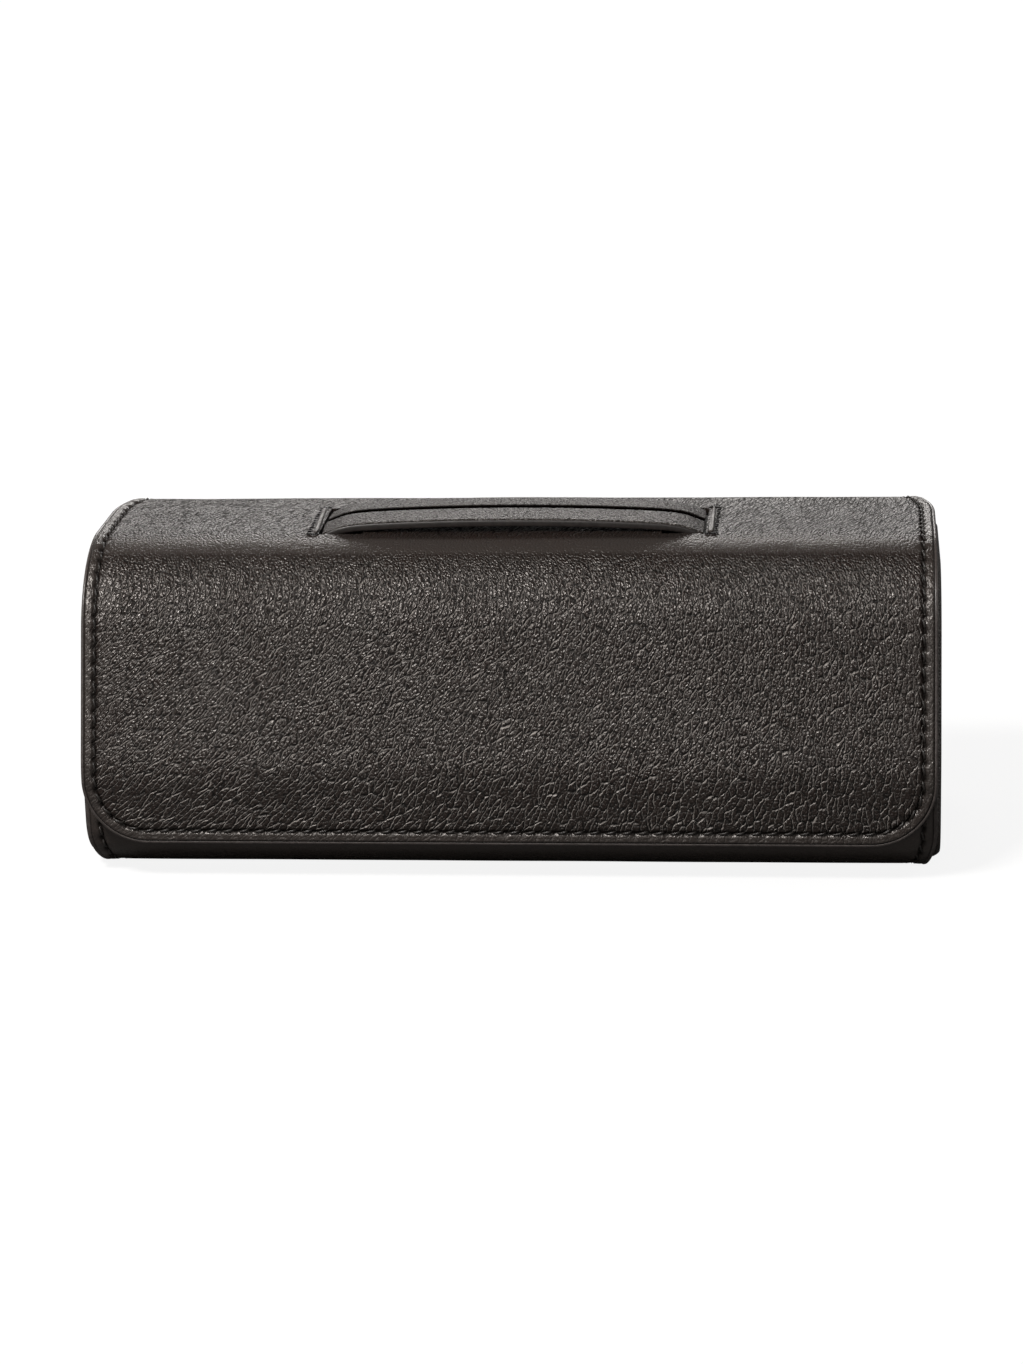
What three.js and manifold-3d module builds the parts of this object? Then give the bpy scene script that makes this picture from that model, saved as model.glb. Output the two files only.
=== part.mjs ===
// A leather travel case for perfume bottles: a boxy body with two end panels, a lid and flap that
// wrap over the top and the front, and a strap handle that slides up through two welted slots.
// Millimetres, +Z up, +X along the case, -Y towards the front. The origin lies on the table, under
// the middle of the case.
import * as THREE from "three";
import { mergeVertices } from "three/addons/utils/BufferGeometryUtils.js";
import Module from "manifold-3d";

const wasm = await Module();
wasm.setup();

// Overall sizes
const CASE_WIDTH = 220; // over the end panels
const CASE_DEPTH = 82; // front of the flap to the back panel
const CASE_HEIGHT = 83; // table to the top of the lid, without the handle

// Lay-up of every panel, from the outside in
const LEATHER = 1.3;
const BOARD = 1.3;
const LINING = 0.7;
const GLUE = 0.15; // clearance between two layers
const BOARD_AT = LEATHER + GLUE;
const LINING_AT = BOARD_AT + Math.max(BOARD, LEATHER) + GLUE; // over the boards and the end panels' flanges
const PANEL = LINING_AT + LINING;

// Section of the case, seen from its end
const FRONT_LEAN = THREE.MathUtils.degToRad(17); // the upper front leans back by this
const LEAN_HEIGHT = 29; // where the upright front would meet the leaning front
const WAIST_RADIUS = 25; // rounds that meeting
const FRONT_BEND_RADIUS = 27; // lid into flap
const BACK_BEND_RADIUS = 12; // back panel into lid
const BASE_RADIUS = 14; // lower front and lower back edges
const ARC_STEP = THREE.MathUtils.degToRad(7.5); // one facet of a bend

// Lid and flap
const WRAP_INSET = 1.2; // the end panels stand out past the wrapped leather by this, on each end
const HINGE_LAND = 4; // upright strip of the lid between its hinge and its back bend
const HINGE_GAP = 0.3;
const FLAP_CLEARANCE = 0.4; // flap to front panel
const FLAP_END_HEIGHT = 10.3; // lower edge of the flap above the table
const FLAP_CORNER = 16;
const EDGE_MARGIN = 4; // the boards stop this far short of a sewn edge
const LID_BOARD_OVERRUN = THREE.MathUtils.degToRad(16); // the lid's board runs on into the front bend

// Body
const FRONT_EDGE_DROP = 5; // upper edge of the front panel below the front bend, along the lean
const FRONT_RIM = 3; // turned edge of the lining there
const BACK_RIM = 1; // the back board stops this far under the hinge
const END_FLANGE = 8; // turned flange of an end panel, along X
const END_EDGE_RADIUS = 2.4;
const END_STEP_DROP = 1.2; // the end panels step in under the lid this far below the hinge

// Inside
const DIVIDER = 4;
const DIVIDER_DROP = 2; // upper edge of a divider below the front panel's edge
const DIVIDER_CORNER = 6;
const WELLS = 3;
const SOFT_GAP = 0.3; // soft pieces to what they lie on
const PAD_THICKNESS = 4;
const PAD_EASE = 0.6; // pad to the walls of its well
const PAD_CROWN = 1.0; // how far the middle of a pad stands above its edge
const PAD_FOOT = 0.93; // a pad's foot as a share of its widest outline

// Magnets that hold the flap shut
const MAGNET_DIAMETER = 8;
const MAGNET_POCKET = 0.3; // clearance round a magnet in its board
const MAGNET_SPACING = 140;
const MAGNET_HEIGHT = 19.8;

// Handle
const HANDLE_SPAN = 91.5; // between the places where the strap's middle line goes through the lid
const STRAP_OVERLAP = 1.4; // the strap's front edge reaches past the start of the front bend by this
const STRAP_WIDTH = 24;
const STRAP_THICKNESS = 2; // at its edges
const STRAP_CROWN = 0.5; // the bands rise by this towards the groove
const STRAP_RISE = 2.45; // middle of the strap above the lid, at half its thickness
const STRAP_WALL = 0.5; // leather round the core, on the sides and underneath
const STRAP_LIP = 0.5; // the two turned bands on top
const STRAP_GROOVE = 1.6; // gap between the bands
const STRAP_EDGE = 0.8; // rounding of the outer edges
const GROOVE_BEVEL = 0.3; // the bands' edges along the groove
const STRAP_ARCH_SHARE = 0.6; // share of the rise that is a low arch, and the rest is at the ends
const STRAP_END_POWER = 16; // how steeply the strap comes out of its slots
const STRAP_SHORT = 0.05; // the middle of the cover's end stays this far above the leather's underside
const STRAP_STEPS = 26;
const CORE_WIDTH = 15;
const CORE_THICKNESS = 0.7;
const TAIL_THICKNESS = 0.6; // skived tail of the core under the lid
const TAIL_MARGIN = 1; // tail past the tab's travel
const SLOT_EASE = 0.9; // slot past each edge of the strap
const SLOT_MARGIN = 0.3; // slot past the strap's end and its landing
const WELT_WIDTH = 2.2;
const WELT_HEIGHT = 0.9;
const WELT_GAP = 0.05;
const TAB_OVERHANG = 1.6; // anchor tab past the slot, at each end, so that it can't pull through
const TAB_LENGTH = 7;
const TAB_THICKNESS = 0.6;
const TAB_TRAVEL = 6; // the tab slides this far when the handle is pulled up
const TAB_EASE = 0.5;

const SIDES = [-1, 1]; // left and right
const CUT_PAST = 2; // cutters run past what they cut by this
const WRAP_HALF = CASE_WIDTH / 2 - WRAP_INSET;
const HALF_DEPTH = CASE_DEPTH / 2;
const HINGE_HEIGHT = CASE_HEIGHT - BACK_BEND_RADIUS - HINGE_LAND;
const FRONT_INSET = PANEL + FLAP_CLEARANCE; // front of the flap to the front of the body

// Materials
const material = (color, roughness, metalness = 0) =>
  new THREE.MeshStandardMaterial({ color, roughness, metalness });
const GRAINED_LEATHER = material(0x3a3431, 0.55);
const SUEDE = material(0x6b5a4c, 0.95);
const FIBREBOARD = material(0x8a7a66, 0.9);
const WEBBING = material(0x221f1d, 0.8);
const NICKEL = material(0xb8b8b4, 0.3, 1);

// A run of straight lines and tangent arcs in the Y-Z plane, turning left, with the inside of the
// case on its left.
class Profile {
  constructor(y, z, heading) {
    this.end = { point: new THREE.Vector2(y, z), heading };
    this.runs = [];
    this.length = 0;
  }

  add(run, length, end) {
    this.runs.push({ ...run, from: this.length, length, start: this.end });
    this.length += length;
    this.end = end;
    return this;
  }

  line(length) {
    const { point, heading } = this.end;
    const end = along(point, heading, length);
    return this.add({ radius: Infinity, turn: 0 }, length, { point: end, heading });
  }

  arc(radius, turn) {
    const { point, heading } = this.end;
    const centre = along(point, heading + Math.PI / 2, radius);
    const end = along(centre, heading + turn - Math.PI / 2, radius);
    return this.add({ radius, turn, centre }, radius * turn, { point: end, heading: heading + turn });
  }

  // The distance along the profile at which a run starts.
  startOf(index) {
    return this.runs[index].from;
  }

  pointAt(run, distance, inset) {
    const { point, heading } = run.start;
    if (run.turn === 0) {
      return along(along(point, heading, distance), heading + Math.PI / 2, inset);
    }
    const angle = heading - Math.PI / 2 + distance / run.radius;
    return along(run.centre, angle, run.radius - inset);
  }

  // Points between two distances along the profile, moved inwards by an inset.
  points(inset, from = 0, to = this.length) {
    const found = [];
    for (const run of this.runs) {
      const first = Math.max(from - run.from, 0);
      const last = Math.min(to - run.from, run.length);
      if (last - first < 1e-6) {
        continue;
      }
      const steps = run.turn === 0 ? 1 : Math.ceil((last - first) / (run.radius * ARC_STEP));
      for (let i = found.length ? 1 : 0; i <= steps; i++) {
        found.push(this.pointAt(run, first + ((last - first) * i) / steps, inset));
      }
    }
    return found;
  }

  // The outline of one layer of a panel that follows the profile.
  layer(outer, inner, from, to) {
    return [...this.points(outer, from, to), ...this.points(inner, from, to).reverse()];
  }
}

function along(point, heading, distance) {
  return new THREE.Vector2(
    point.x + distance * Math.cos(heading),
    point.y + distance * Math.sin(heading),
  );
}

// Turns a shape drawn in Y-Z and raised along its own third axis into the case's frame.
const RAISED_ALONG_X = new THREE.Matrix4().makeBasis(
  new THREE.Vector3(0, 1, 0),
  new THREE.Vector3(0, 0, 1),
  new THREE.Vector3(1, 0, 0),
);
// The same for a shape drawn in X-Z and raised towards the front.
const RAISED_ALONG_Y = new THREE.Matrix4().makeBasis(
  new THREE.Vector3(1, 0, 0),
  new THREE.Vector3(0, 0, 1),
  new THREE.Vector3(0, -1, 0),
);

// A prism of a Y-Z outline between two places along X.
function prism(outline, fromX, toX) {
  const shape = new THREE.Shape(outline);
  const made = new THREE.ExtrudeGeometry(shape, { depth: toX - fromX, bevelEnabled: false });
  return made.applyMatrix4(RAISED_ALONG_X).translate(fromX, 0, 0);
}

// A prism of an X-Z shape between two places along Y.
function frontPrism(shape, fromY, toY, curveSegments = 10) {
  const made = new THREE.ExtrudeGeometry(shape, { depth: toY - fromY, bevelEnabled: false, curveSegments });
  return made.applyMatrix4(RAISED_ALONG_Y).translate(0, toY, 0);
}

function block(sizeX, sizeY, sizeZ, x, y, z) {
  return new THREE.BoxGeometry(sizeX, sizeY, sizeZ).translate(x, y, z);
}

// A closed skin over rings of equal count. The section gives the rings' outline in its own plane.
function loft(rings, section) {
  const count = section.length;
  const positions = rings.flat().flatMap((p) => [p.x, p.y, p.z]);
  const faces = [];
  for (let ring = 0; ring + 1 < rings.length; ring++) {
    for (let i = 0; i < count; i++) {
      const a = ring * count + i;
      const b = ring * count + ((i + 1) % count);
      faces.push(a, b, b + count, a, b + count, a + count);
    }
  }
  const lastRing = (rings.length - 1) * count;
  for (const [a, b, c] of THREE.ShapeUtils.triangulateShape(section, [])) {
    faces.push(a, c, b, lastRing + a, lastRing + b, lastRing + c);
  }
  const made = new THREE.BufferGeometry();
  made.setAttribute("position", new THREE.Float32BufferAttribute(positions, 3));
  made.setIndex(faces);
  return made;
}

// Closed geometry as a solid that can be joined and cut, and back.
function solid(geometry) {
  const bare = geometry.clone();
  bare.deleteAttribute("normal");
  bare.deleteAttribute("uv");
  const merged = mergeVertices(bare, 1e-4);
  return new wasm.Manifold(
    new wasm.Mesh({
      numProp: 3,
      vertProperties: new Float32Array(merged.attributes.position.array),
      triVerts: new Uint32Array(merged.index.array),
    }),
  );
}

function geometryOf(made) {
  const mesh = made.getMesh();
  const geometry = new THREE.BufferGeometry();
  geometry.setAttribute("position", new THREE.Float32BufferAttribute(mesh.vertProperties, 3));
  geometry.setIndex(new THREE.BufferAttribute(mesh.triVerts, 1));
  geometry.computeVertexNormals();
  return geometry;
}

function cut(geometry, ...tools) {
  return geometryOf(tools.reduce((left, tool) => left.subtract(solid(tool)), solid(geometry)));
}

function join(...geometries) {
  return geometryOf(geometries.map(solid).reduce((all, next) => all.add(next)));
}

function node(name, geometry, finish) {
  const mesh = new THREE.Mesh(geometry, finish.clone());
  mesh.name = name;
  return mesh;
}

// A pair of nodes, the right one as modelled and the left one its mirror image.
function pair(name, geometry, finish) {
  const right = node(`right_${name}`, geometry, finish);
  const left = node(`left_${name}`, geometry, finish);
  left.scale.x = -1;
  return [left, right];
}

// The lid and flap, from the hinge over the top and down the front. Runs: 0 hinge land, 1 back
// bend, 2 top, 3 front bend, 4 leaning front, 5 waist, 6 upright front.
const waistTangent = WAIST_RADIUS * Math.tan(FRONT_LEAN / 2);
const bendHeight = CASE_HEIGHT - FRONT_BEND_RADIUS;
const bendDepth =
  -HALF_DEPTH +
  (FRONT_BEND_RADIUS + (bendHeight - LEAN_HEIGHT) * Math.sin(FRONT_LEAN)) / Math.cos(FRONT_LEAN);
const leanEndHeight = bendHeight + FRONT_BEND_RADIUS * Math.sin(FRONT_LEAN);
const leanLength = (leanEndHeight - LEAN_HEIGHT) / Math.cos(FRONT_LEAN) - waistTangent;
const uprightTop = LEAN_HEIGHT - waistTangent;
const lidProfile = new Profile(HALF_DEPTH, HINGE_HEIGHT, Math.PI / 2)
  .line(HINGE_LAND)
  .arc(BACK_BEND_RADIUS, Math.PI / 2)
  .line(HALF_DEPTH - BACK_BEND_RADIUS - bendDepth)
  .arc(FRONT_BEND_RADIUS, Math.PI / 2 - FRONT_LEAN)
  .line(leanLength)
  .arc(WAIST_RADIUS, FRONT_LEAN)
  .line(uprightTop - FLAP_END_HEIGHT);
const TOP_RUN = 2;
const FRONT_BEND_RUN = 3;
const LEAN_RUN = 4;

// The flap folds about the middle of the front bend, where lid and flap part.
const foldAt = (lidProfile.startOf(FRONT_BEND_RUN) + lidProfile.startOf(LEAN_RUN)) / 2;
const lidEnd = foldAt - HINGE_GAP / 2;
const flapStart = foldAt + HINGE_GAP / 2;

// The body's wrap, from the front panel's upper edge down, under and up the back to the hinge.
// Runs: 0 leaning front, 1 waist, 2 upright front, 3 front base bend, 4 base, 5 back base bend, 6 back.
const frontEdge = lidProfile.pointAt(lidProfile.runs[LEAN_RUN], FRONT_EDGE_DROP, FRONT_INSET);
const bodyProfile = new Profile(frontEdge.x, frontEdge.y, 1.5 * Math.PI - FRONT_LEAN)
  .line(leanLength - FRONT_EDGE_DROP)
  .arc(WAIST_RADIUS - FRONT_INSET, FRONT_LEAN)
  .line(uprightTop - BASE_RADIUS)
  .arc(BASE_RADIUS, Math.PI / 2)
  .line(CASE_DEPTH - FRONT_INSET - 2 * BASE_RADIUS)
  .arc(BASE_RADIUS, Math.PI / 2)
  .line(HINGE_HEIGHT - HINGE_GAP - BASE_RADIUS);
const BASE_BEND_RUN = 3;
const BASE_RUN = 4;
const BACK_BEND_RUN = 5;
const BACK_RUN = 6;

// Inner face of the end panel and of the layers inside it, along X
const endFace = CASE_WIDTH / 2;
const endBoardFace = endFace - LEATHER - GLUE;
const endLiningFace = endBoardFace - BOARD - GLUE;
const insideHalf = endLiningFace - LINING - GLUE;
const flangeStart = endFace - END_FLANGE;
const boardHalf = flangeStart - GLUE;

// Outline of an end panel, moved inwards by an inset. It follows the wrap round the front, base
// and back, steps in under the hinge, and runs free under the lid.
function endOutline(inset) {
  const underLid = FRONT_INSET + BOARD_AT + inset;
  const inWrap = BOARD_AT + inset;
  const stepHeight = HINGE_HEIGHT - END_STEP_DROP - inset;
  const lidRuns = lidProfile.points(underLid, lidProfile.startOf(1), lidProfile.startOf(LEAN_RUN + 2));
  const baseFrom = bodyProfile.startOf(BASE_BEND_RUN);
  const wrapRuns = bodyProfile.points(inWrap, baseFrom, bodyProfile.startOf(BACK_RUN));
  const backFace = HALF_DEPTH - inWrap;
  const stepped = HALF_DEPTH - underLid;
  return [
    new THREE.Vector2(stepped, stepHeight),
    ...lidRuns,
    ...wrapRuns,
    new THREE.Vector2(backFace, stepHeight),
  ];
}

function ringAt(x, outline) {
  return outline.map((p) => new THREE.Vector3(x, p.x, p.y));
}

// End panel: a pan of turned leather with a rounded rim, its board and its suede.
function endPanels() {
  const outline = endOutline(0);
  const rounding = [0, 0.3, 0.6, 0.85, 1].map((share) => {
    const angle = (share * Math.PI) / 2;
    const x = endFace - END_EDGE_RADIUS * (1 - Math.sin(angle));
    return ringAt(x, endOutline(END_EDGE_RADIUS * (1 - Math.cos(angle))));
  });
  const pan = loft([ringAt(flangeStart, outline), ...rounding], outline);
  const hollow = prism(endOutline(LEATHER), flangeStart - CUT_PAST, endFace - LEATHER);
  const inside = endOutline(LEATHER + GLUE);
  return [
    ...pair("end_panel", cut(pan, hollow), GRAINED_LEATHER),
    ...pair("end_board", prism(inside, endBoardFace - BOARD, endBoardFace), FIBREBOARD),
    ...pair("end_lining", prism(inside, endLiningFace - LINING, endLiningFace), SUEDE),
  ];
}

// Wrapped body: outer leather, three boards and the suede lining.
function bodyWrap() {
  const leather = prism(bodyProfile.layer(0, LEATHER), -WRAP_HALF, WRAP_HALF);
  const board = (from, to) =>
    prism(bodyProfile.layer(BOARD_AT, BOARD_AT + BOARD, from, to), -boardHalf, boardHalf);
  const frontBoard = board(FRONT_RIM + GLUE, bodyProfile.startOf(BASE_BEND_RUN));
  const baseBoard = board(bodyProfile.startOf(BASE_RUN), bodyProfile.startOf(BACK_BEND_RUN));
  const backBoard = board(bodyProfile.startOf(BACK_RUN), bodyProfile.length - BACK_RIM);
  const pockets = SIDES.map((side) => magnetPlug(side, MAGNET_DIAMETER / 2 + MAGNET_POCKET));
  return [
    node("body_leather", leather, GRAINED_LEATHER),
    node("front_board", cut(frontBoard, ...pockets), FIBREBOARD),
    node("base_board", baseBoard, FIBREBOARD),
    node("back_board", backBoard, FIBREBOARD),
    node("body_lining", bodyLining(), SUEDE),
  ];
}

// The lining turns over the front panel's upper edge, and is notched at the back to clear the
// step of the end panels.
function bodyLining() {
  const face = prism(bodyProfile.layer(LINING_AT, PANEL), -insideHalf, insideHalf);
  const rim = prism(bodyProfile.layer(BOARD_AT, PANEL, 0, FRONT_RIM), -boardHalf, boardHalf);
  const notchTop = HINGE_HEIGHT + CUT_PAST;
  const notchFoot = HINGE_HEIGHT - END_STEP_DROP - LEATHER - GLUE;
  const notchWidth = insideHalf - boardHalf + CUT_PAST;
  const notches = SIDES.map((side) =>
    block(
      notchWidth,
      2 * (PANEL + CUT_PAST),
      notchTop - notchFoot,
      side * (boardHalf + notchWidth / 2),
      HALF_DEPTH,
      (notchTop + notchFoot) / 2,
    ),
  );
  return cut(join(face, rim), ...notches);
}

// A cylinder along Y at a magnet's place, right through the front of the case.
const frontCutFrom = -HALF_DEPTH - CUT_PAST;
const frontCutTo = -HALF_DEPTH + FRONT_INSET + PANEL + CUT_PAST;
function magnetPlug(side, radius, fromY = frontCutFrom, toY = frontCutTo) {
  const disc = new THREE.Shape().absarc((side * MAGNET_SPACING) / 2, MAGNET_HEIGHT, radius, 0, 2 * Math.PI);
  return frontPrism(disc, fromY, toY, 14);
}

// A magnet sits in the thickness of a board whose outer face lies this far behind the flap's front.
function magnets(name, boardFace) {
  const fromY = -HALF_DEPTH + boardFace + GLUE / 2;
  const toY = fromY + BOARD - GLUE;
  return [
    node(`left_${name}`, magnetPlug(-1, MAGNET_DIAMETER / 2, fromY, toY), NICKEL),
    node(`right_${name}`, magnetPlug(1, MAGNET_DIAMETER / 2, fromY, toY), NICKEL),
  ];
}

// Dividers and base pads make equal wells, one bottle each.
const wellWidth = (2 * insideHalf - (WELLS - 1) * DIVIDER) / WELLS;
const wellPitch = wellWidth + DIVIDER;

function dividerOutline() {
  const lean = bodyProfile.points(PANEL + SOFT_GAP, 0, bodyProfile.startOf(1));
  const topHeight = lean[0].y - DIVIDER_DROP;
  const walls = bodyProfile.points(PANEL + SOFT_GAP, bodyProfile.startOf(1));
  const back = walls[walls.length - 1].x;
  const slope = Math.tan(FRONT_LEAN);
  const frontAt = (height) => walls[0].x + (height - walls[0].y) * slope;
  const shape = new THREE.Shape();
  shape.moveTo(frontAt(topHeight - DIVIDER_CORNER), topHeight - DIVIDER_CORNER);
  walls.slice(0, -1).forEach((p) => shape.lineTo(p.x, p.y));
  shape.lineTo(back, topHeight - DIVIDER_CORNER);
  shape.quadraticCurveTo(back, topHeight, back - DIVIDER_CORNER, topHeight);
  shape.lineTo(frontAt(topHeight) + DIVIDER_CORNER, topHeight);
  shape.quadraticCurveTo(
    frontAt(topHeight),
    topHeight,
    frontAt(topHeight - DIVIDER_CORNER),
    topHeight - DIVIDER_CORNER,
  );
  return shape.getPoints(5);
}

function insideFittings() {
  const outline = dividerOutline();
  const made = [];
  for (let i = 0; i < WELLS - 1; i++) {
    const middle = (i - (WELLS - 2) / 2) * wellPitch;
    const divider = prism(outline, middle - DIVIDER / 2, middle + DIVIDER / 2);
    made.push(node(`divider_${i + 1}`, divider, SUEDE));
  }
  for (let i = 0; i < WELLS; i++) {
    const pad = node(`base_pad_${i + 1}`, basePad(), SUEDE);
    pad.position.set((i - (WELLS - 1) / 2) * wellPitch, 0, PANEL + SOFT_GAP);
    made.push(pad);
  }
  return made;
}

// A cushion with drawn-in sides and a crowned top. Its foot ends where the base starts to curve up
// to meet it.
function basePad() {
  const frontY = -HALF_DEPTH + FRONT_INSET + BASE_RADIUS;
  const backY = HALF_DEPTH - BASE_RADIUS;
  const middleY = (frontY + backY) / 2;
  const halfX = wellWidth / 2 - PAD_EASE;
  const innerRadius = BASE_RADIUS - PANEL;
  const footReach = Math.sqrt(SOFT_GAP * (2 * innerRadius - SOFT_GAP)) - SOFT_GAP;
  const halfY = ((backY - frontY) / 2 + footReach) / PAD_FOOT;
  const sides = 32;
  const outlineAt = (share) => {
    const points = [];
    for (let i = 0; i < sides; i++) {
      const angle = (2 * Math.PI * i) / sides;
      const square = 1 / Math.pow(Math.abs(Math.cos(angle)) ** 8 + Math.abs(Math.sin(angle)) ** 8, 1 / 8);
      points.push(new THREE.Vector2(square * Math.cos(angle) * share, square * Math.sin(angle) * share));
    }
    return points;
  };
  // Share of the plan size and height at each ring, from the foot to the crown
  const edge = PAD_THICKNESS - PAD_CROWN;
  const rings = [
    [PAD_FOOT, 0],
    [0.985, 0.3 * edge],
    [1, 0.6 * edge],
    [0.98, edge],
    [0.85, edge + 0.55 * PAD_CROWN],
    [0.5, edge + 0.9 * PAD_CROWN],
    [0.2, PAD_THICKNESS],
  ].map(([share, height]) =>
    outlineAt(share).map((p) => new THREE.Vector3(p.x * halfX, middleY + p.y * halfY, height)),
  );
  return loft(rings, outlineAt(1));
}

// A cutter that leaves a rounded lower corner on the flap, for an edge moved inwards by an inset.
function flapCorners(inset) {
  const radius = FLAP_CORNER - inset;
  const side = WRAP_HALF - inset;
  const foot = FLAP_END_HEIGHT + inset;
  return SIDES.map((end) => {
    const shape = new THREE.Shape();
    shape.moveTo(end * (side - radius), foot);
    shape.lineTo(end * (side - radius), foot - CUT_PAST);
    shape.lineTo(end * (side + CUT_PAST), foot - CUT_PAST);
    shape.lineTo(end * (side + CUT_PAST), foot + radius);
    shape.lineTo(end * side, foot + radius);
    shape.absarc(
      end * (side - radius),
      foot + radius,
      radius,
      end > 0 ? 0 : Math.PI,
      -Math.PI / 2,
      end > 0,
    );
    return frontPrism(shape, frontCutFrom, frontCutTo, 9);
  });
}

// A layer of suede that fills the edges round a board let into its outer side.
function pocketedLining(profileFrom, profileTo, boardFrom, boardTo) {
  const blank = prism(lidProfile.layer(BOARD_AT, PANEL, profileFrom, profileTo), -WRAP_HALF, WRAP_HALF);
  const half = WRAP_HALF - EDGE_MARGIN + GLUE;
  const pocket = lidProfile.layer(LEATHER, LINING_AT, boardFrom - GLUE, boardTo + GLUE);
  return cut(blank, prism(pocket, -half, half));
}

const handleAt = bendDepth - STRAP_OVERLAP + STRAP_WIDTH / 2; // the strap's centre line, along Y
const slotLength = STRAP_WIDTH + 2 * SLOT_EASE;
const tabWidth = slotLength + 2 * TAB_OVERHANG;

// Height of the strap's middle line above the lid, at a share of the half span from the middle.
// It leaves its slots steeply, and then runs in a low arch.
function strapHeight(share) {
  const arch = STRAP_ARCH_SHARE * (1 - share ** 2);
  const ends = (1 - STRAP_ARCH_SHARE) * (1 - share ** STRAP_END_POWER);
  return STRAP_RISE * (arch + ends);
}

// The share of the half span at which the strap's underside has come down to the lid.
function strapLanding() {
  let share = 0;
  while (share < 1 && strapHeight(share) - STRAP_THICKNESS / 2 > SOFT_GAP) {
    share += 0.005;
  }
  return share;
}

// Each slot reaches from where the strap lands to past the ends of its cover and its core's arch.
const strapHalf = HANDLE_SPAN / 2;
const strapSlope =
  (STRAP_RISE * (2 * STRAP_ARCH_SHARE + STRAP_END_POWER * (1 - STRAP_ARCH_SHARE))) / strapHalf;
const endShift = (STRAP_THICKNESS / 2) * Math.sin(Math.atan(strapSlope));
const slotInner = strapHalf * strapLanding() - endShift - SLOT_MARGIN;
const coverDip = LEATHER - STRAP_SHORT;
const coverReach = strapHalf + coverDip / strapSlope + endShift;
const coreMiddle = (STRAP_WALL - STRAP_LIP) / 2;
const tailDepth = LEATHER + GLUE + TAIL_THICKNESS / 2;
const coreReach = strapHalf + (tailDepth + coreMiddle) / strapSlope;
const slotOuter = Math.max(coverReach, coreReach) + SLOT_MARGIN;
const tailStart = coverReach;
const tailLength = TAB_LENGTH + TAB_TRAVEL + TAIL_MARGIN;
const tailEnd = tailStart + tailLength;

// Lid: outer leather with the two handle slots, its board with the windows in which the handle's
// tails slide, its lining, and the welts beside the slots.
function lid() {
  const boardFrom = lidProfile.startOf(TOP_RUN);
  const boardTo = lidProfile.startOf(FRONT_BEND_RUN) + FRONT_BEND_RADIUS * LID_BOARD_OVERRUN;
  const leather = prism(lidProfile.layer(0, LEATHER, 0, lidEnd), -WRAP_HALF, WRAP_HALF);
  const half = WRAP_HALF - EDGE_MARGIN;
  const board = prism(lidProfile.layer(BOARD_AT, BOARD_AT + BOARD, boardFrom, boardTo), -half, half);
  const slots = SIDES.map((side) =>
    block(
      slotOuter - slotInner,
      slotLength,
      2 * (LEATHER + CUT_PAST),
      (side * (slotInner + slotOuter)) / 2,
      handleAt,
      CASE_HEIGHT,
    ),
  );
  const windowEnd = tailEnd + TAB_EASE;
  const windows = SIDES.map((side) =>
    block(
      windowEnd - slotInner,
      tabWidth + 2 * TAB_EASE,
      2 * (PANEL + CUT_PAST),
      (side * (slotInner + windowEnd)) / 2,
      handleAt,
      CASE_HEIGHT,
    ),
  );
  const welt = new THREE.Shape();
  welt.moveTo(-WELT_WIDTH / 2, 0);
  welt.lineTo(WELT_WIDTH / 2, 0);
  welt.bezierCurveTo(WELT_WIDTH / 2, WELT_HEIGHT, WELT_WIDTH / 4, WELT_HEIGHT, 0, WELT_HEIGHT);
  welt.bezierCurveTo(-WELT_WIDTH / 4, WELT_HEIGHT, -WELT_WIDTH / 2, WELT_HEIGHT, -WELT_WIDTH / 2, 0);
  const welts = SIDES.map((side) => {
    const made = node(
      side < 0 ? "left_slot_welt" : "right_slot_welt",
      frontPrism(welt, -slotLength / 2, slotLength / 2, 4),
      GRAINED_LEATHER,
    );
    made.position.set(side * (slotOuter + WELT_WIDTH / 2), handleAt, CASE_HEIGHT + WELT_GAP);
    return made;
  });
  return [
    node("lid_leather", cut(leather, ...slots), GRAINED_LEATHER),
    node("lid_board", cut(board, ...windows), FIBREBOARD),
    node("lid_lining", pocketedLining(0, lidEnd, boardFrom, boardTo), SUEDE),
    ...welts,
  ];
}

// Flap: outer leather, board, lining and the magnets in its board.
function flap() {
  const boardFrom = lidProfile.startOf(LEAN_RUN);
  const boardTo = lidProfile.length - EDGE_MARGIN;
  const half = WRAP_HALF - EDGE_MARGIN;
  const leather = prism(lidProfile.layer(0, LEATHER, flapStart, lidProfile.length), -WRAP_HALF, WRAP_HALF);
  const board = prism(lidProfile.layer(BOARD_AT, BOARD_AT + BOARD, boardFrom, boardTo), -half, half);
  const pockets = SIDES.map((side) => magnetPlug(side, MAGNET_DIAMETER / 2 + MAGNET_POCKET));
  const lining = pocketedLining(flapStart, lidProfile.length, boardFrom, boardTo);
  return [
    node("flap_leather", cut(leather, ...flapCorners(0)), GRAINED_LEATHER),
    node("flap_board", cut(board, ...flapCorners(EDGE_MARGIN), ...pockets), FIBREBOARD),
    node("flap_lining", cut(lining, ...flapCorners(0)), SUEDE),
    ...magnets("flap_magnet", BOARD_AT),
  ];
}

// The strap's middle line from its left end to its right one, ending below the lid by a depth.
// Past a slot it goes on straight, as steep as it left it.
function strapLine(endDepth) {
  const line = [];
  for (let i = 0; i <= STRAP_STEPS; i++) {
    const swing = Math.sin((Math.PI / 2) * ((2 * i) / STRAP_STEPS - 1));
    line.push(new THREE.Vector2(strapHalf * swing, CASE_HEIGHT + strapHeight(swing)));
  }
  const reach = strapHalf + endDepth / strapSlope;
  line.unshift(new THREE.Vector2(-reach, CASE_HEIGHT - endDepth));
  line.push(new THREE.Vector2(reach, CASE_HEIGHT - endDepth));
  return line;
}

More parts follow.
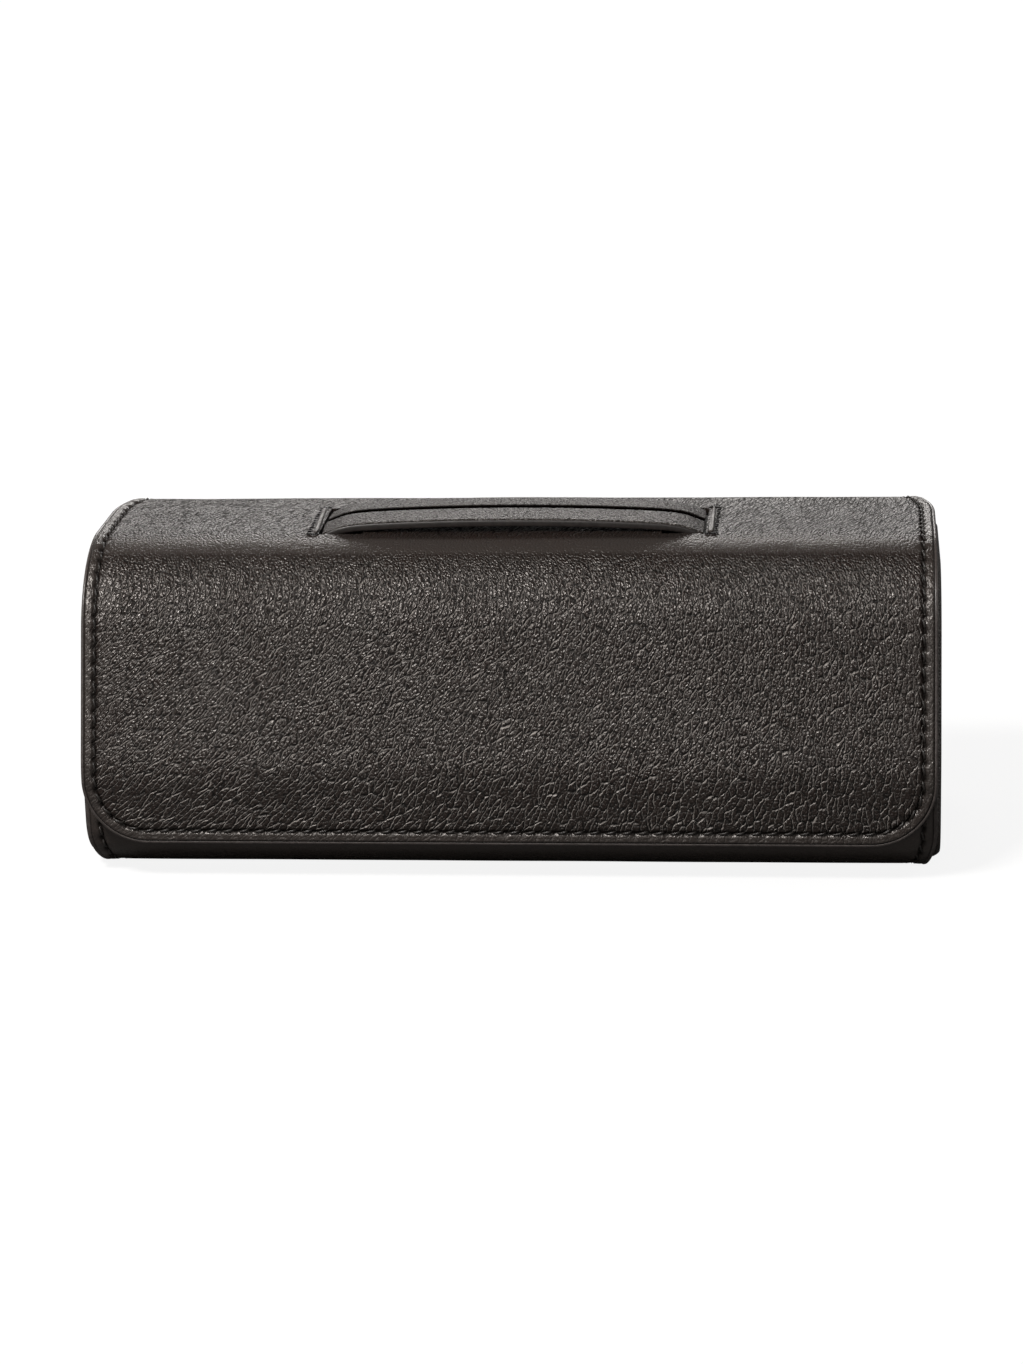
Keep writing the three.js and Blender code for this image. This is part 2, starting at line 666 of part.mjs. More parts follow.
// Carries a section of (across, up) points along a line in the X-Z plane.
function strapSweep(line, section) {
  const rings = line.map((p, i) => {
    const before = line[Math.max(i - 1, 0)];
    const after = line[Math.min(i + 1, line.length - 1)];
    const slant = Math.atan2(after.y - before.y, after.x - before.x);
    return section.map(
      (q) =>
        new THREE.Vector3(
          p.x - q.y * Math.sin(slant),
          handleAt + q.x,
          p.y + q.y * Math.cos(slant),
        ),
    );
  });
  return loft(rings, section);
}

// Cover of the strap: leather turned round the core so that its two edges face each other in a
// groove along the top.
function strapSection() {
  const half = STRAP_WIDTH / 2;
  const top = STRAP_THICKNESS / 2;
  const crown = top + STRAP_CROWN;
  const groove = STRAP_GROOVE / 2;
  const hollow = CORE_WIDTH / 2 + GLUE;
  const floor = -top + STRAP_WALL;
  const ceiling = top - STRAP_LIP;
  const rounded = (x, y, fromAngle) =>
    [0, 1, 2, 3].map((i) => {
      const angle = fromAngle + (i * Math.PI) / 6;
      return new THREE.Vector2(x + STRAP_EDGE * Math.cos(angle), y + STRAP_EDGE * Math.sin(angle));
    });
  const point = (x, y) => new THREE.Vector2(x, y);
  return [
    ...rounded(-half + STRAP_EDGE, -top + STRAP_EDGE, Math.PI),
    ...rounded(half - STRAP_EDGE, -top + STRAP_EDGE, 1.5 * Math.PI),
    ...rounded(half - STRAP_EDGE, top - STRAP_EDGE, 0),
    point(groove + GROOVE_BEVEL, crown),
    point(groove, crown - GROOVE_BEVEL),
    point(groove, ceiling),
    point(hollow, ceiling),
    point(hollow, floor),
    point(-hollow, floor),
    point(-hollow, ceiling),
    point(-groove, ceiling),
    point(-groove, crown - GROOVE_BEVEL),
    point(-groove - GROOVE_BEVEL, crown),
    ...rounded(-half + STRAP_EDGE, top - STRAP_EDGE, 0.5 * Math.PI),
  ];
}

function rectangle(width, low, high) {
  return [
    new THREE.Vector2(-width / 2, low),
    new THREE.Vector2(width / 2, low),
    new THREE.Vector2(width / 2, high),
    new THREE.Vector2(-width / 2, high),
  ];
}

// Core of the strap, with a skived tail at each end that lies flat under the lid's leather.
function strapCore() {
  const section = rectangle(
    CORE_WIDTH,
    coreMiddle - CORE_THICKNESS / 2,
    coreMiddle + CORE_THICKNESS / 2,
  );
  const arch = strapSweep(strapLine(tailDepth + coreMiddle), section);
  const tails = SIDES.map((side) =>
    block(
      tailLength,
      CORE_WIDTH,
      TAIL_THICKNESS,
      side * (tailStart + tailLength / 2),
      handleAt,
      CASE_HEIGHT - tailDepth,
    ),
  );
  return join(arch, ...tails);
}

// Anchor tabs under the tails: wider than the slots, so the handle can't pull through.
function anchorTabs() {
  const tab = block(TAB_LENGTH, tabWidth, TAB_THICKNESS, 0, 0, 0);
  const depth = tailDepth + TAIL_THICKNESS / 2 + GLUE / 2 + TAB_THICKNESS / 2;
  return SIDES.map((side) => {
    const made = node(side < 0 ? "left_anchor_tab" : "right_anchor_tab", tab, NICKEL);
    made.position.set(side * (tailEnd - TAB_LENGTH / 2), handleAt, CASE_HEIGHT - depth);
    return made;
  });
}

function handle() {
  const cover = strapSweep(strapLine(coverDip), strapSection());
  return [
    node("handle_cover", cover, GRAINED_LEATHER),
    node("handle_core", strapCore(), WEBBING),
    ...anchorTabs(),
  ];
}

function groupOf(name, nodes) {
  const group = new THREE.Group();
  group.name = name;
  group.add(...nodes);
  return group;
}

const perfumeCase = groupOf("perfume_case", [
  groupOf("body", [
    ...bodyWrap(),
    ...magnets("front_magnet", FRONT_INSET + BOARD_AT),
    ...endPanels(),
    ...insideFittings(),
  ]),
  groupOf("lid", [...lid(), groupOf("flap", flap()), groupOf("handle", handle())]),
]);

export default perfumeCase;
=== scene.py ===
"""Looks of a leather case for perfume bottles: a wrapped body, a lid and flap, and a strap handle.

Every new piece is a surface worked out with numpy on a grid of two parameters. Panels follow one
cross section of the case, so a point of a panel is named by its place across the case (x) and its
distance from the panel's free end (v). Lengths are metres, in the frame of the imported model.
"""
from __future__ import annotations

import logging
import math
from dataclasses import dataclass, field, replace
from enum import Enum
from typing import Callable, Mapping, Sequence, Union

import bpy
import numpy as np
from mathutils import Matrix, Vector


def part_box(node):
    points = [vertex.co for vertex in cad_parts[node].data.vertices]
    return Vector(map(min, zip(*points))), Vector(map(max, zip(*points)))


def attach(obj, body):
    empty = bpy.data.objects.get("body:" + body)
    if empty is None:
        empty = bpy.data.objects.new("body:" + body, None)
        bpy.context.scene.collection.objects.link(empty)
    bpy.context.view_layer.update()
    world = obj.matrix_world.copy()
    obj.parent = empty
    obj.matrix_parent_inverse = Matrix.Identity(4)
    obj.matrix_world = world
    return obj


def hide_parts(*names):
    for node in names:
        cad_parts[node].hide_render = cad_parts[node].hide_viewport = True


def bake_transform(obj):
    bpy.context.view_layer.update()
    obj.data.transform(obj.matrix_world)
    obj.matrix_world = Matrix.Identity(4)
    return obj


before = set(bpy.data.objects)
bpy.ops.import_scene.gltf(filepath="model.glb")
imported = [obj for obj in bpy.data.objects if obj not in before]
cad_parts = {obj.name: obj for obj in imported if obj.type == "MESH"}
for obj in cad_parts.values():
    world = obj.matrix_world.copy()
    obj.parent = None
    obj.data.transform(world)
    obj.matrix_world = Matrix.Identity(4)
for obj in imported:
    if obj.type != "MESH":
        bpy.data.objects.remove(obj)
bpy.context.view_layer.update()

MM = 0.001
SHARP_ANGLE = math.radians(60)
ALONG_X, ALONG_Y, ALONG_Z = np.eye(3)
QUARTER = math.pi / 2
Array = np.ndarray
Colour = tuple[float, float, float]
log = logging.getLogger("perfume_case")


class Side(Enum):
    """The two ends of the case."""

    LEFT = -1
    RIGHT = 1

    @property
    def label(self) -> str:
        """The side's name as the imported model's nodes write it."""
        return self.name.lower()


class Body(Enum):
    """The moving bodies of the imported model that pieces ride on."""

    CASE = "case_body"
    LID = "lid"
    FLAP = "flap"
    HANDLE = "handle"


class Cell(Enum):
    """What is measured in a pattern of cells."""

    EDGE = "DISTANCE_TO_EDGE"
    MIDDLE = "F1"


# Shader expressions


class Signal:
    """An output socket of a shader tree, on which arithmetic adds Math nodes."""

    def __init__(self, shader: Shader, socket: bpy.types.NodeSocket) -> None:
        """Keeps the tree and the socket."""
        self.shader = shader
        self.socket = socket

    def _math(self, operation: str, first: Value, second: Value) -> Signal:
        """Adds one Math node and returns its result."""
        return self.shader.node("ShaderNodeMath", {"operation": operation}, {0: first, 1: second})

    def __add__(self, other: Value) -> Signal:
        """Sum."""
        return self._math("ADD", self, other)

    def __radd__(self, other: Value) -> Signal:
        """Sum with a number on the left."""
        return self._math("ADD", other, self)

    def __sub__(self, other: Value) -> Signal:
        """Difference."""
        return self._math("SUBTRACT", self, other)

    def __rsub__(self, other: Value) -> Signal:
        """Difference with a number on the left."""
        return self._math("SUBTRACT", other, self)

    def __mul__(self, other: Value) -> Signal:
        """Product."""
        return self._math("MULTIPLY", self, other)

    def __rmul__(self, other: Value) -> Signal:
        """Product with a number on the left."""
        return self._math("MULTIPLY", other, self)


Value = Union[Signal, float, Sequence[float]]


class Shader:
    """The node tree of one material, or of the world."""

    def __init__(self, owner: bpy.types.Material | bpy.types.World) -> None:
        """Empties the owner's tree and keeps it.

        Args:
            owner: the material or world whose nodes are made.
        """
        owner.use_nodes = True
        self.owner = owner
        self.tree = owner.node_tree
        self.tree.nodes.clear()

    @classmethod
    def named(cls, name: str) -> Shader:
        """The tree of a new material."""
        return cls(bpy.data.materials.new(name))

    def node(
        self,
        kind: str,
        settings: Mapping[str, object] | None = None,
        inputs: Mapping[Union[str, int], Value] | None = None,
        output: Union[str, int] = 0,
    ) -> Signal:
        """Adds any node.

        Args:
            kind: the node's type name.
            settings: the node's own properties, set first.
            inputs: values or signals by socket name or number.
            output: the socket that is returned.

        Returns:
            The chosen output, or the first input of a node without outputs.
        """
        made = self.tree.nodes.new(kind)
        for name, value in (settings or {}).items():
            setattr(made, name, value)
        for name, value in (inputs or {}).items():
            if isinstance(value, Signal):
                self.tree.links.new(value.socket, made.inputs[name])
            else:
                made.inputs[name].default_value = value
        return Signal(self, made.outputs[output] if made.outputs else made.inputs[0])

    def place(self) -> Signal:
        """Places in the piece's own frame, in metres."""
        return self.node("ShaderNodeTexCoord", {}, output="Object")

    def chart(self, name: str) -> Signal:
        """Places on one of the piece's own flat maps, in millimetres."""
        return self.node("ShaderNodeUVMap", {"uv_map": name})

    def vector(self, operation: str, first: Value, second: Value) -> Signal:
        """Adds one Vector Math node of two vectors and returns its result."""
        return self.node("ShaderNodeVectorMath", {"operation": operation}, {0: first, 1: second})

    def ease(self, value: Value, low: float, high: float) -> Signal:
        """A smooth step of a value from 0 at low to 1 at high."""
        settings = {"interpolation_type": "SMOOTHSTEP"}
        return self.node("ShaderNodeMapRange", settings, {0: value, 1: low, 2: high, 3: 0.0, 4: 1.0})

    def blend(self, share: Value, first: Value, second: Value) -> Signal:
        """A colour between two colours."""
        inputs = {0: share, 6: paint(first), 7: paint(second)}
        return self.node("ShaderNodeMix", {"data_type": "RGBA"}, inputs, output=2)

    def shift(self, vector: Signal, by: Signal, amount: float) -> Signal:
        """A vector moved by a colour read as a vector, centred on zero, times an amount."""
        settings = {"operation": "MULTIPLY_ADD"}
        middle = [-0.5 * amount] * 3
        step = self.node("ShaderNodeVectorMath", settings, {0: by, 1: [amount] * 3, 2: middle})
        return self.vector("ADD", vector, step)

    def attribute(self, name: str) -> Signal:
        """A number that a mesh carries on its points."""
        return self.node("ShaderNodeAttribute", {"attribute_name": name}, output="Fac")

    def noise(self, vector: Signal, scale: float, detail: float = 2.0, colour: bool = False) -> Signal:
        """Fractal noise, as a number or as a colour."""
        inputs = {"Vector": vector, "Scale": scale, "Detail": detail, "Roughness": 0.55}
        return self.node("ShaderNodeTexNoise", {}, inputs, output="Color" if colour else "Fac")

    def cells(self, vector: Signal, size: float, feature: Cell) -> Signal:
        """Distances in a plane pattern of cells of about one size."""
        settings = {"feature": feature.value, "voronoi_dimensions": "2D"}
        inputs = {"Vector": vector, "Scale": 1.0 / size, "Randomness": 1.0}
        return self.node("ShaderNodeTexVoronoi", settings, inputs, output="Distance")

    def bump(self, height: Signal, distance: float) -> Signal:
        """A normal from a height, where 1 stands this far above 0."""
        inputs = {"Strength": 1.0, "Distance": distance, "Height": height}
        return self.node("ShaderNodeBump", {}, inputs, output="Normal")

    def surface(
        self, constants: Mapping[str, Value], varying: Mapping[str, Value]
    ) -> bpy.types.Material:
        """Ends the tree in one Principled shader.

        Args:
            constants: sockets that are the same all over the surface.
            varying: sockets fed by other nodes.

        Returns:
            The finished material.
        """
        return self.end(self.principled(constants, varying))

    def principled(self, constants: Mapping[str, Value], varying: Mapping[str, Value]) -> Signal:
        """Adds a Principled shader from its constant and its varying sockets."""
        return self.node("ShaderNodeBsdfPrincipled", {}, {**constants, **varying})

    def end(self, shader: Signal) -> bpy.types.Material:
        """Joins a shader to the material's output and returns the material."""
        self.node("ShaderNodeOutputMaterial", {}, {"Surface": shader})
        return self.owner


def paint(value: Value) -> Value:
    """A colour as a socket takes it, with its alpha; a signal stays as it is."""
    if isinstance(value, Signal):
        return value
    return (*value, 1.0)


# Finishes


@dataclass(frozen=True)
class GrainedLeather:
    """Drum-dyed leather with a drawn grain, read from the mesh's own grain map in millimetres."""

    name: str
    ground: Colour = (0.0150, 0.0098, 0.0076)
    # painted highlight: light colour laid on the crease walls that face the light, and a little over
    # calm places
    painted_highlight: Colour = (0.3200, 0.2900, 0.2680)
    # painted shade: the colour of the hollows between granules and of the long creases
    sunk: Colour = (0.0020, 0.0013, 0.0010)
    # painted shade: a black diffuse surface mixed in at marked creases and beside the long creases
    pit: Colour = (0.0016, 0.0013, 0.0012)
    sheen: Colour = (1.0, 0.95, 0.915)
    warmth: Colour = (1.08, 0.88, 0.84)
    plate: float = 1.35
    granule: float = 0.62
    stray: float = 0.45
    sway: float = 1.0
    kink: float = 0.52
    drawn: tuple[float, float, float] = (1.0, 0.50, 1.0)
    # how far towards the light the second pattern of cells is moved, for the painted highlight
    towards_light: tuple[float, float, float] = (-0.10, -0.03, 0.0)
    dome: float = 1.5
    crease_depth: float = 0.66
    depth: float = 0.50 * MM
    shine: float = 0.30
    dullness: float = 0.55

    def material(self) -> bpy.types.Material:
        """Small domed granules parted by sharp creases, with long deeper creases that come and go.

        A granule's height falls with the square of the distance from its middle. A long crease is
        sunk where the distance to a plate's edge is near nought, and a highlight is painted on one
        wall of it: the wall where that distance grows towards the upper left, which faces the light.
        Shade is painted into the hollows between granules and into the long creases, and a black
        diffuse shade is mixed in where the mesh marks a crease and beside the long creases.

        Returns:
            The finished material.
        """
        shader = Shader.named(self.name)
        flat = shader.chart("grain")
        flow = shader.chart("flow")
        wander = shader.noise(flat, 1.3, 0.0, colour=True)
        bent = shader.shift(flat, wander, self.stray)
        drift = shader.shift(flow, shader.noise(flow, 0.30, 0.0, colour=True), self.sway)
        drift = shader.shift(drift, wander, self.kink)
        longer = shader.vector("MULTIPLY", drift, self.drawn)
        beside = shader.vector("ADD", longer, self.towards_light)
        edge = shader.cells(longer, self.plate, Cell.EDGE)
        upper = shader.cells(beside, self.plate, Cell.EDGE)
        middle = shader.cells(bent, self.granule, Cell.MIDDLE)
        granules = 1.0 - self.dome * middle * middle
        pores = shader.noise(flat, 5.0, 1.0)
        patches = shader.noise(flat, 0.07, 3.0)
        # calm places: grain pressed or stretched smooth, which also get a little painted highlight
        calm_and_highlight = shader.attribute("calm")
        strength = (1.0 - 0.85 * calm_and_highlight) * (0.70 + 0.6 * patches)
        lines = shader.attribute("lines")
        shown = shader.ease(shader.noise(longer, 0.5, 1.0), 0.28, 0.52)
        shown = shown * (1.0 - shader.ease(calm_and_highlight, 0.45, 0.80))
        seen = shown * lines
        creases = (1.0 - shader.ease(edge, 0.0, 0.16)) * seen
        # painted shadow beside the long creases
        shadow = 0.52 * shader.ease(lines, 0.05, 0.40) - 0.40 * shader.ease(lines, 0.50, 1.0)
        shadow = shadow * (1.0 - shader.ease(edge, 0.02, 0.17)) * shown
        # painted highlight on the wall of each long crease that faces the light, towards the upper left
        painted_highlight = shader.ease(edge - upper, 0.012, 0.050) * (1.0 - shader.ease(edge, 0.06, 0.17))
        painted_highlight = painted_highlight * seen * strength
        relief = (0.55 - 0.18 * lines) * granules - self.crease_depth * creases
        height = relief * strength + 0.10 * pores
        tops = shader.ease(granules, 0.15, 0.75) * (1.0 - creases)
        tops = tops + (1.0 - tops) * (0.8 * calm_and_highlight)
        warm = tuple(channel * tint for channel, tint in zip(self.ground, self.warmth))
        skin = shader.blend(0.7 * shader.ease(patches, 0.40, 0.70), self.ground, warm)
        # painted shade: the hollows between granules and the long creases take the dark crease colour
        skin = shader.blend(tops, self.sunk, skin)
        # painted highlight laid over the skin colour
        skin = shader.blend(painted_highlight, skin, self.painted_highlight)
        # painted highlight: calm places (sewn margins, the stretched bend, the body's front) are
        # lightened a little
        skin = shader.blend(0.07 * shader.ease(calm_and_highlight, 0.50, 0.70), skin, self.painted_highlight)
        rough = self.dullness + (self.shine - self.dullness) * tops + 0.14 * (pores - 0.5)
        normal = shader.bump(height, self.depth)
        lit = shader.principled(
            {"Specular IOR Level": 0.75, "IOR": 1.5, "Specular Tint": paint(self.sheen)},
            {"Base Color": skin, "Roughness": rough, "Normal": normal},
        )
        # painted shade: black diffuse is mixed in where the mesh marks a crease, and beside the long
        # creases
        pit = shader.node("ShaderNodeBsdfDiffuse", {}, {"Color": paint(self.pit)})
        shade = shader.attribute("crease")
        shade = shade + (1.0 - shade) * shadow
        return shader.end(shader.node("ShaderNodeMixShader", {}, {0: shade, 1: lit, 2: pit}))


@dataclass(frozen=True)
class EdgePaint:
    """Several coats of acrylic paint on a cut edge, sanded between coats."""

    name: str
    colour: Colour = (0.080, 0.067, 0.062)
    rough: float = 0.36

    def material(self) -> bpy.types.Material:
        """Slow waves of the sanded coats, and fine specks."""
        shader = Shader.named(self.name)
        place = shader.place()
        waves = shader.noise(place, 900.0, 2.0)
        specks = shader.noise(place, 5200.0, 2.0)
        dark = tuple(0.62 * channel for channel in self.colour)
        return shader.surface(
            {"Specular IOR Level": 0.5},
            {
                "Base Color": shader.blend(shader.ease(waves, 0.3, 0.7), dark, self.colour),
                "Roughness": self.rough + 0.22 * (specks - 0.5),
                "Normal": shader.bump(0.7 * waves + 0.3 * specks, 0.05 * MM),
            },
        )


@dataclass(frozen=True)
class WaxedThread:
    """Waxed two-ply sewing thread."""

    name: str
    colour: Colour = (0.036, 0.031, 0.028)

    def material(self) -> bpy.types.Material:
        """Fibres as fine noise, darker where the thread is dirty."""
        shader = Shader.named(self.name)
        place = shader.place()
        fibres = shader.noise(place, 9000.0, 3.0)
        dirt = shader.noise(place, 700.0, 2.0)
        dark = tuple(0.4 * channel for channel in self.colour)
        return shader.surface(
            {"Specular IOR Level": 0.5},
            {
                "Base Color": shader.blend(dirt, dark, self.colour),
                "Roughness": 0.26 + 0.22 * fibres,
                "Normal": shader.bump(fibres, 0.05 * MM),
            },
        )


@dataclass(frozen=True)
class Suede:
    """Napped lining suede: two tones where the nap lies either way, and a short pile."""

    name: str
    light: Colour = (0.165, 0.120, 0.090)
    dark: Colour = (0.098, 0.069, 0.051)

    def material(self) -> bpy.types.Material:
        """Brushed patches over a fine pile."""
        shader = Shader.named(self.name)
        place = shader.place()
        bent = shader.shift(place, shader.noise(place, 60.0, 2.0, colour=True), 0.012)
        brushed = shader.noise(bent, 55.0, 4.0)
        pile = shader.noise(place, 2600.0, 3.0)
        tone = shader.ease(brushed, 0.32, 0.70)
        nap = shader.blend(tone, self.dark, self.light)
        nap = shader.blend(0.35 * pile, nap, tuple(0.5 * channel for channel in self.dark))
        return shader.surface(
            {"Specular IOR Level": 0.15, "Sheen Weight": 0.35, "Sheen Roughness": 0.45},
            {
                "Base Color": nap,
                "Roughness": 0.86 + 0.12 * pile,
                "Normal": shader.bump(0.75 * pile + 0.25 * brushed, 0.14 * MM),
            },
        )


@dataclass(frozen=True)
class Fibreboard:
    """Pressed leatherboard: mottled brown with short fibres."""

    name: str

    def material(self) -> bpy.types.Material:
        """Mottling and fibres in two sizes of noise."""
        shader = Shader.named(self.name)
        place = shader.place()
        mottle = shader.noise(place, 240.0, 4.0)
        fibres = shader.noise(place, 2400.0, 3.0)
        return shader.surface(
            {"Specular IOR Level": 0.3},
            {
                "Base Color": shader.blend(mottle, (0.16, 0.115, 0.075), (0.33, 0.26, 0.18)),
                "Roughness": 0.80 + 0.15 * fibres,
                "Normal": shader.bump(0.5 * mottle + 0.5 * fibres, 0.12 * MM),
            },
        )


@dataclass(frozen=True)
class Webbing:
    """Narrow woven tape: ribs across and along it."""

    name: str
    pitch: float = 0.9 * MM

    def material(self) -> bpy.types.Material:
        """A plain weave from two crossed waves."""
        shader = Shader.named(self.name)
        place = shader.place()
        ribs = {"wave_type": "BANDS", "bands_direction": "X"}
        rows = {"wave_type": "BANDS", "bands_direction": "Y"}
        inputs = {"Vector": place, "Scale": 0.314 / self.pitch, "Distortion": 0.3}
        weft = shader.node("ShaderNodeTexWave", ribs, inputs, output="Fac")
        warp = shader.node("ShaderNodeTexWave", rows, inputs, output="Fac")
        fibres = shader.noise(place, 5200.0, 2.0)
        weave = weft * warp
        return shader.surface(
            {"Specular IOR Level": 0.25},
            {
                "Base Color": shader.blend(weave, (0.006, 0.005, 0.005), (0.028, 0.024, 0.022)),
                "Roughness": 0.72 + 0.2 * fibres,
                "Normal": shader.bump(0.8 * weave + 0.2 * fibres, 0.16 * MM),
            },
        )


@dataclass(frozen=True)
class Nickel:
    """Nickel plate, brushed by its tumbling."""

    name: str

    def material(self) -> bpy.types.Material:
        """Faint scratches and stains on bright metal."""
        shader = Shader.named(self.name)
        place = shader.place()
        stains = shader.noise(place, 320.0, 3.0)
        scratches = shader.noise(place, 4200.0, 2.0)
        return shader.surface(
            {"Metallic": 1.0},
            {
                "Base Color": shader.blend(stains, (0.50, 0.49, 0.46), (0.66, 0.65, 0.62)),
                "Roughness": 0.24 + 0.18 * scratches,
                "Normal": shader.bump(scratches, 0.01 * MM),
            },
        )


@dataclass(frozen=True)
class Finishes:
    """The materials that the pieces share."""

    skin: bpy.types.Material
    edge: bpy.types.Material
    strap_edge: bpy.types.Material
    thread: bpy.types.Material
    black_thread: bpy.types.Material
    suede: bpy.types.Material
    board: bpy.types.Material
    tape: bpy.types.Material
    metal: bpy.types.Material

    @classmethod
    def make(cls) -> Finishes:
        """Makes every material once."""
        return cls(
            skin=GrainedLeather("grained_leather").material(),
            edge=EdgePaint("edge_paint").material(),
            strap_edge=EdgePaint("strap_edge_paint", (0.030, 0.025, 0.023)).material(),
            thread=WaxedThread("painted_highlight_thread").material(),
            black_thread=WaxedThread("black_thread", (0.0060, 0.0052, 0.0050)).material(),
            suede=Suede("lining_suede").material(),
            board=Fibreboard("leatherboard").material(),
            tape=Webbing("core_tape").material(),
            metal=Nickel("nickel_plate").material(),
        )


# The cross section of the case


class Profile:
    """A chain of lines and tangent left-hand arcs in the Y-Z plane, the case's inside on its left."""

    def __init__(self, y: float, z: float, heading: float) -> None:
        """Starts the chain at a point, with a heading in radians."""
        self._rows: list[tuple[float, float, float, float, float]] = []
        self._end = (y, z, heading)
        self.length = 0.0

    def _add(self, length: float, curvature: float) -> Profile:
        """Adds a run of a length and a curvature."""
        y, z, heading = self._end
        self._rows.append((self.length, y, z, heading, curvature))
        self.length += length
        point, _ = self.frame(np.array([self.length]))
        self._end = (point[0, 0], point[0, 1], heading + curvature * length)
        return self

    def line(self, length: float) -> Profile:
        """Adds a straight run."""
        return self._add(length, 0.0)

    def arc(self, radius: float, turn: float) -> Profile:
        """Adds a run that turns left."""
        return self._add(radius * turn, 1.0 / radius)

    def start_of(self, run: int) -> float:
        """The distance along the chain at which a run starts."""
        return self._rows[run][0]

    def frame(self, distance: Array) -> tuple[Array, Array]:
        """Points and headings at distances along the chain, which runs on past its ends.

        With heading h, curvature k and d past a run's start, an arc's point is the run's start plus
        (sin(h + kd) - sin h, cos h - cos(h + kd)) / k, and a line's is the start plus d (cos h, sin h).

        Args:
            distance: distances along the chain, of any shape.

        Returns:
            The (y, z) points and the headings.
        """
        rows = np.array(self._rows)
        run = np.clip(np.searchsorted(rows[:, 0], distance, side="right") - 1, 0, len(rows) - 1)
        start, y, z, heading, curve = (rows[run, column] for column in range(5))
        past = distance - start
        turned = heading + curve * past
        bent = np.where(curve == 0.0, 1.0, curve)
        arc_y = (np.sin(turned) - np.sin(heading)) / bent
        arc_z = (np.cos(heading) - np.cos(turned)) / bent
        go_y = np.where(curve == 0.0, past * np.cos(heading), arc_y)
        go_z = np.where(curve == 0.0, past * np.sin(heading), arc_z)
        return np.stack([y + go_y, z + go_z], axis=-1), turned

    def inset(self, distance: Array, depth: Array | float) -> Array:
        """Points at distances along the chain, moved inwards by a depth."""
        point, heading = self.frame(distance)
        inward = np.stack([-np.sin(heading), np.cos(heading)], axis=-1)
        return point + np.asarray(depth)[..., None] * inward


@dataclass(frozen=True)
class Section:
    """Driving sizes of the cross section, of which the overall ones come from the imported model."""

    width: float
    depth: float
    height: float
    flap_foot: float
    wrap_half: float
    lean: float = math.radians(17)
    lean_height: float = 29 * MM
    waist: float = 25 * MM
    front_bend: float = 27 * MM
    back_bend: float = 12 * MM
    base_bend: float = 14 * MM
    hinge_land: float = 4 * MM
    front_inset: float = 4.0 * MM
    front_edge_drop: float = 5 * MM
    leather: float = 1.3 * MM
    panel: float = 3.6 * MM

    @classmethod
    def from_frame(cls) -> Section:
        """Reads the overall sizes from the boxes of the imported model's nodes."""
        body_low, body_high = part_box("body_leather")
        flap_low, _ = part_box("flap_leather")
        end_low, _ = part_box("left_end_panel")
        _, end_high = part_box("right_end_panel")
        _, lid_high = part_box("lid_leather")
        return cls(
            width=end_high.x - end_low.x,
            depth=body_high.y - flap_low.y,
            height=lid_high.z,
            flap_foot=flap_low.z,
            wrap_half=body_high.x,
        )

    def drawn_in(self, y: Array, z: Array) -> Array:
        """How far the soft case narrows on each side, at a place of its cross section.

        Near the table it is 3.2 mm (1 - z / 12 mm)^1.8. Towards the upper back edge it is
        3.3 mm ((y - 17 mm) / 14 mm)^2, fading out down the back.

        Args:
            y: place from the front to the back.
            z: height above the table.

        Returns:
            The narrowing, of the same shape.
        """
        foot = 3.2 * MM * np.clip(1 - z / (12 * MM), 0.0, 1.0) ** 1.8
        back = np.clip((y - 17 * MM) / (14 * MM), 0.0, 1.0) ** 2
        high = ease(z, self.hinge_height - 22 * MM, self.hinge_height + 8 * MM)
        return foot + 3.3 * MM * back * high

    @property
    def hinge_height(self) -> float:
        """Height of the line about which the lid turns."""
        return self.height - self.back_bend - self.hinge_land

    @property
    def bend_centre(self) -> tuple[float, float]:
        """Centre (y, z) of the bend from the lid into the flap."""
        z = self.height - self.front_bend
        reach = self.front_bend + (z - self.lean_height) * math.sin(self.lean)
        return -self.depth / 2 + reach / math.cos(self.lean), z

    @property
    def upright_top(self) -> float:
        """Height at which the upright part of the front ends."""
        return self.lean_height - self.waist * math.tan(self.lean / 2)

    @property
    def lean_length(self) -> float:
        """Length of the leaning part of the front."""
        top = self.bend_centre[1] + self.front_bend * math.sin(self.lean)
        slope = (top - self.lean_height) / math.cos(self.lean)
        return slope - self.waist * math.tan(self.lean / 2)

    def lid_profile(self) -> Profile:
        """From the hinge over the top and down the front: land, bend, top, bend, lean, waist, foot."""
        half = self.depth / 2
        return (
            Profile(half, self.hinge_height, math.pi / 2)
            .line(self.hinge_land)
            .arc(self.back_bend, math.pi / 2)
            .line(half - self.back_bend - self.bend_centre[0])
            .arc(self.front_bend, math.pi / 2 - self.lean)
            .line(self.lean_length)
            .arc(self.waist, self.lean)
            .line(self.upright_top - self.flap_foot)
        )

    def wrap_profile(self) -> Profile:
        """From the front panel's edge down, under, up the back and over into the lid's top."""
        lid = self.lid_profile()
        edge = lid.inset(np.array([lid.start_of(4) + self.front_edge_drop]), self.front_inset)[0]
        return (
            Profile(edge[0], edge[1], 1.5 * math.pi - self.lean)
            .line(self.lean_length - self.front_edge_drop)
            .arc(self.waist - self.front_inset, self.lean)
            .line(self.upright_top - self.base_bend)
            .arc(self.base_bend, math.pi / 2)
            .line(self.depth - self.front_inset - 2 * self.base_bend)
            .arc(self.base_bend, math.pi / 2)
            .line(self.height - self.back_bend - self.base_bend)
            .arc(self.back_bend, math.pi / 2)
            .line(self.back_bend)
        )


# Panels and the lines along their edges


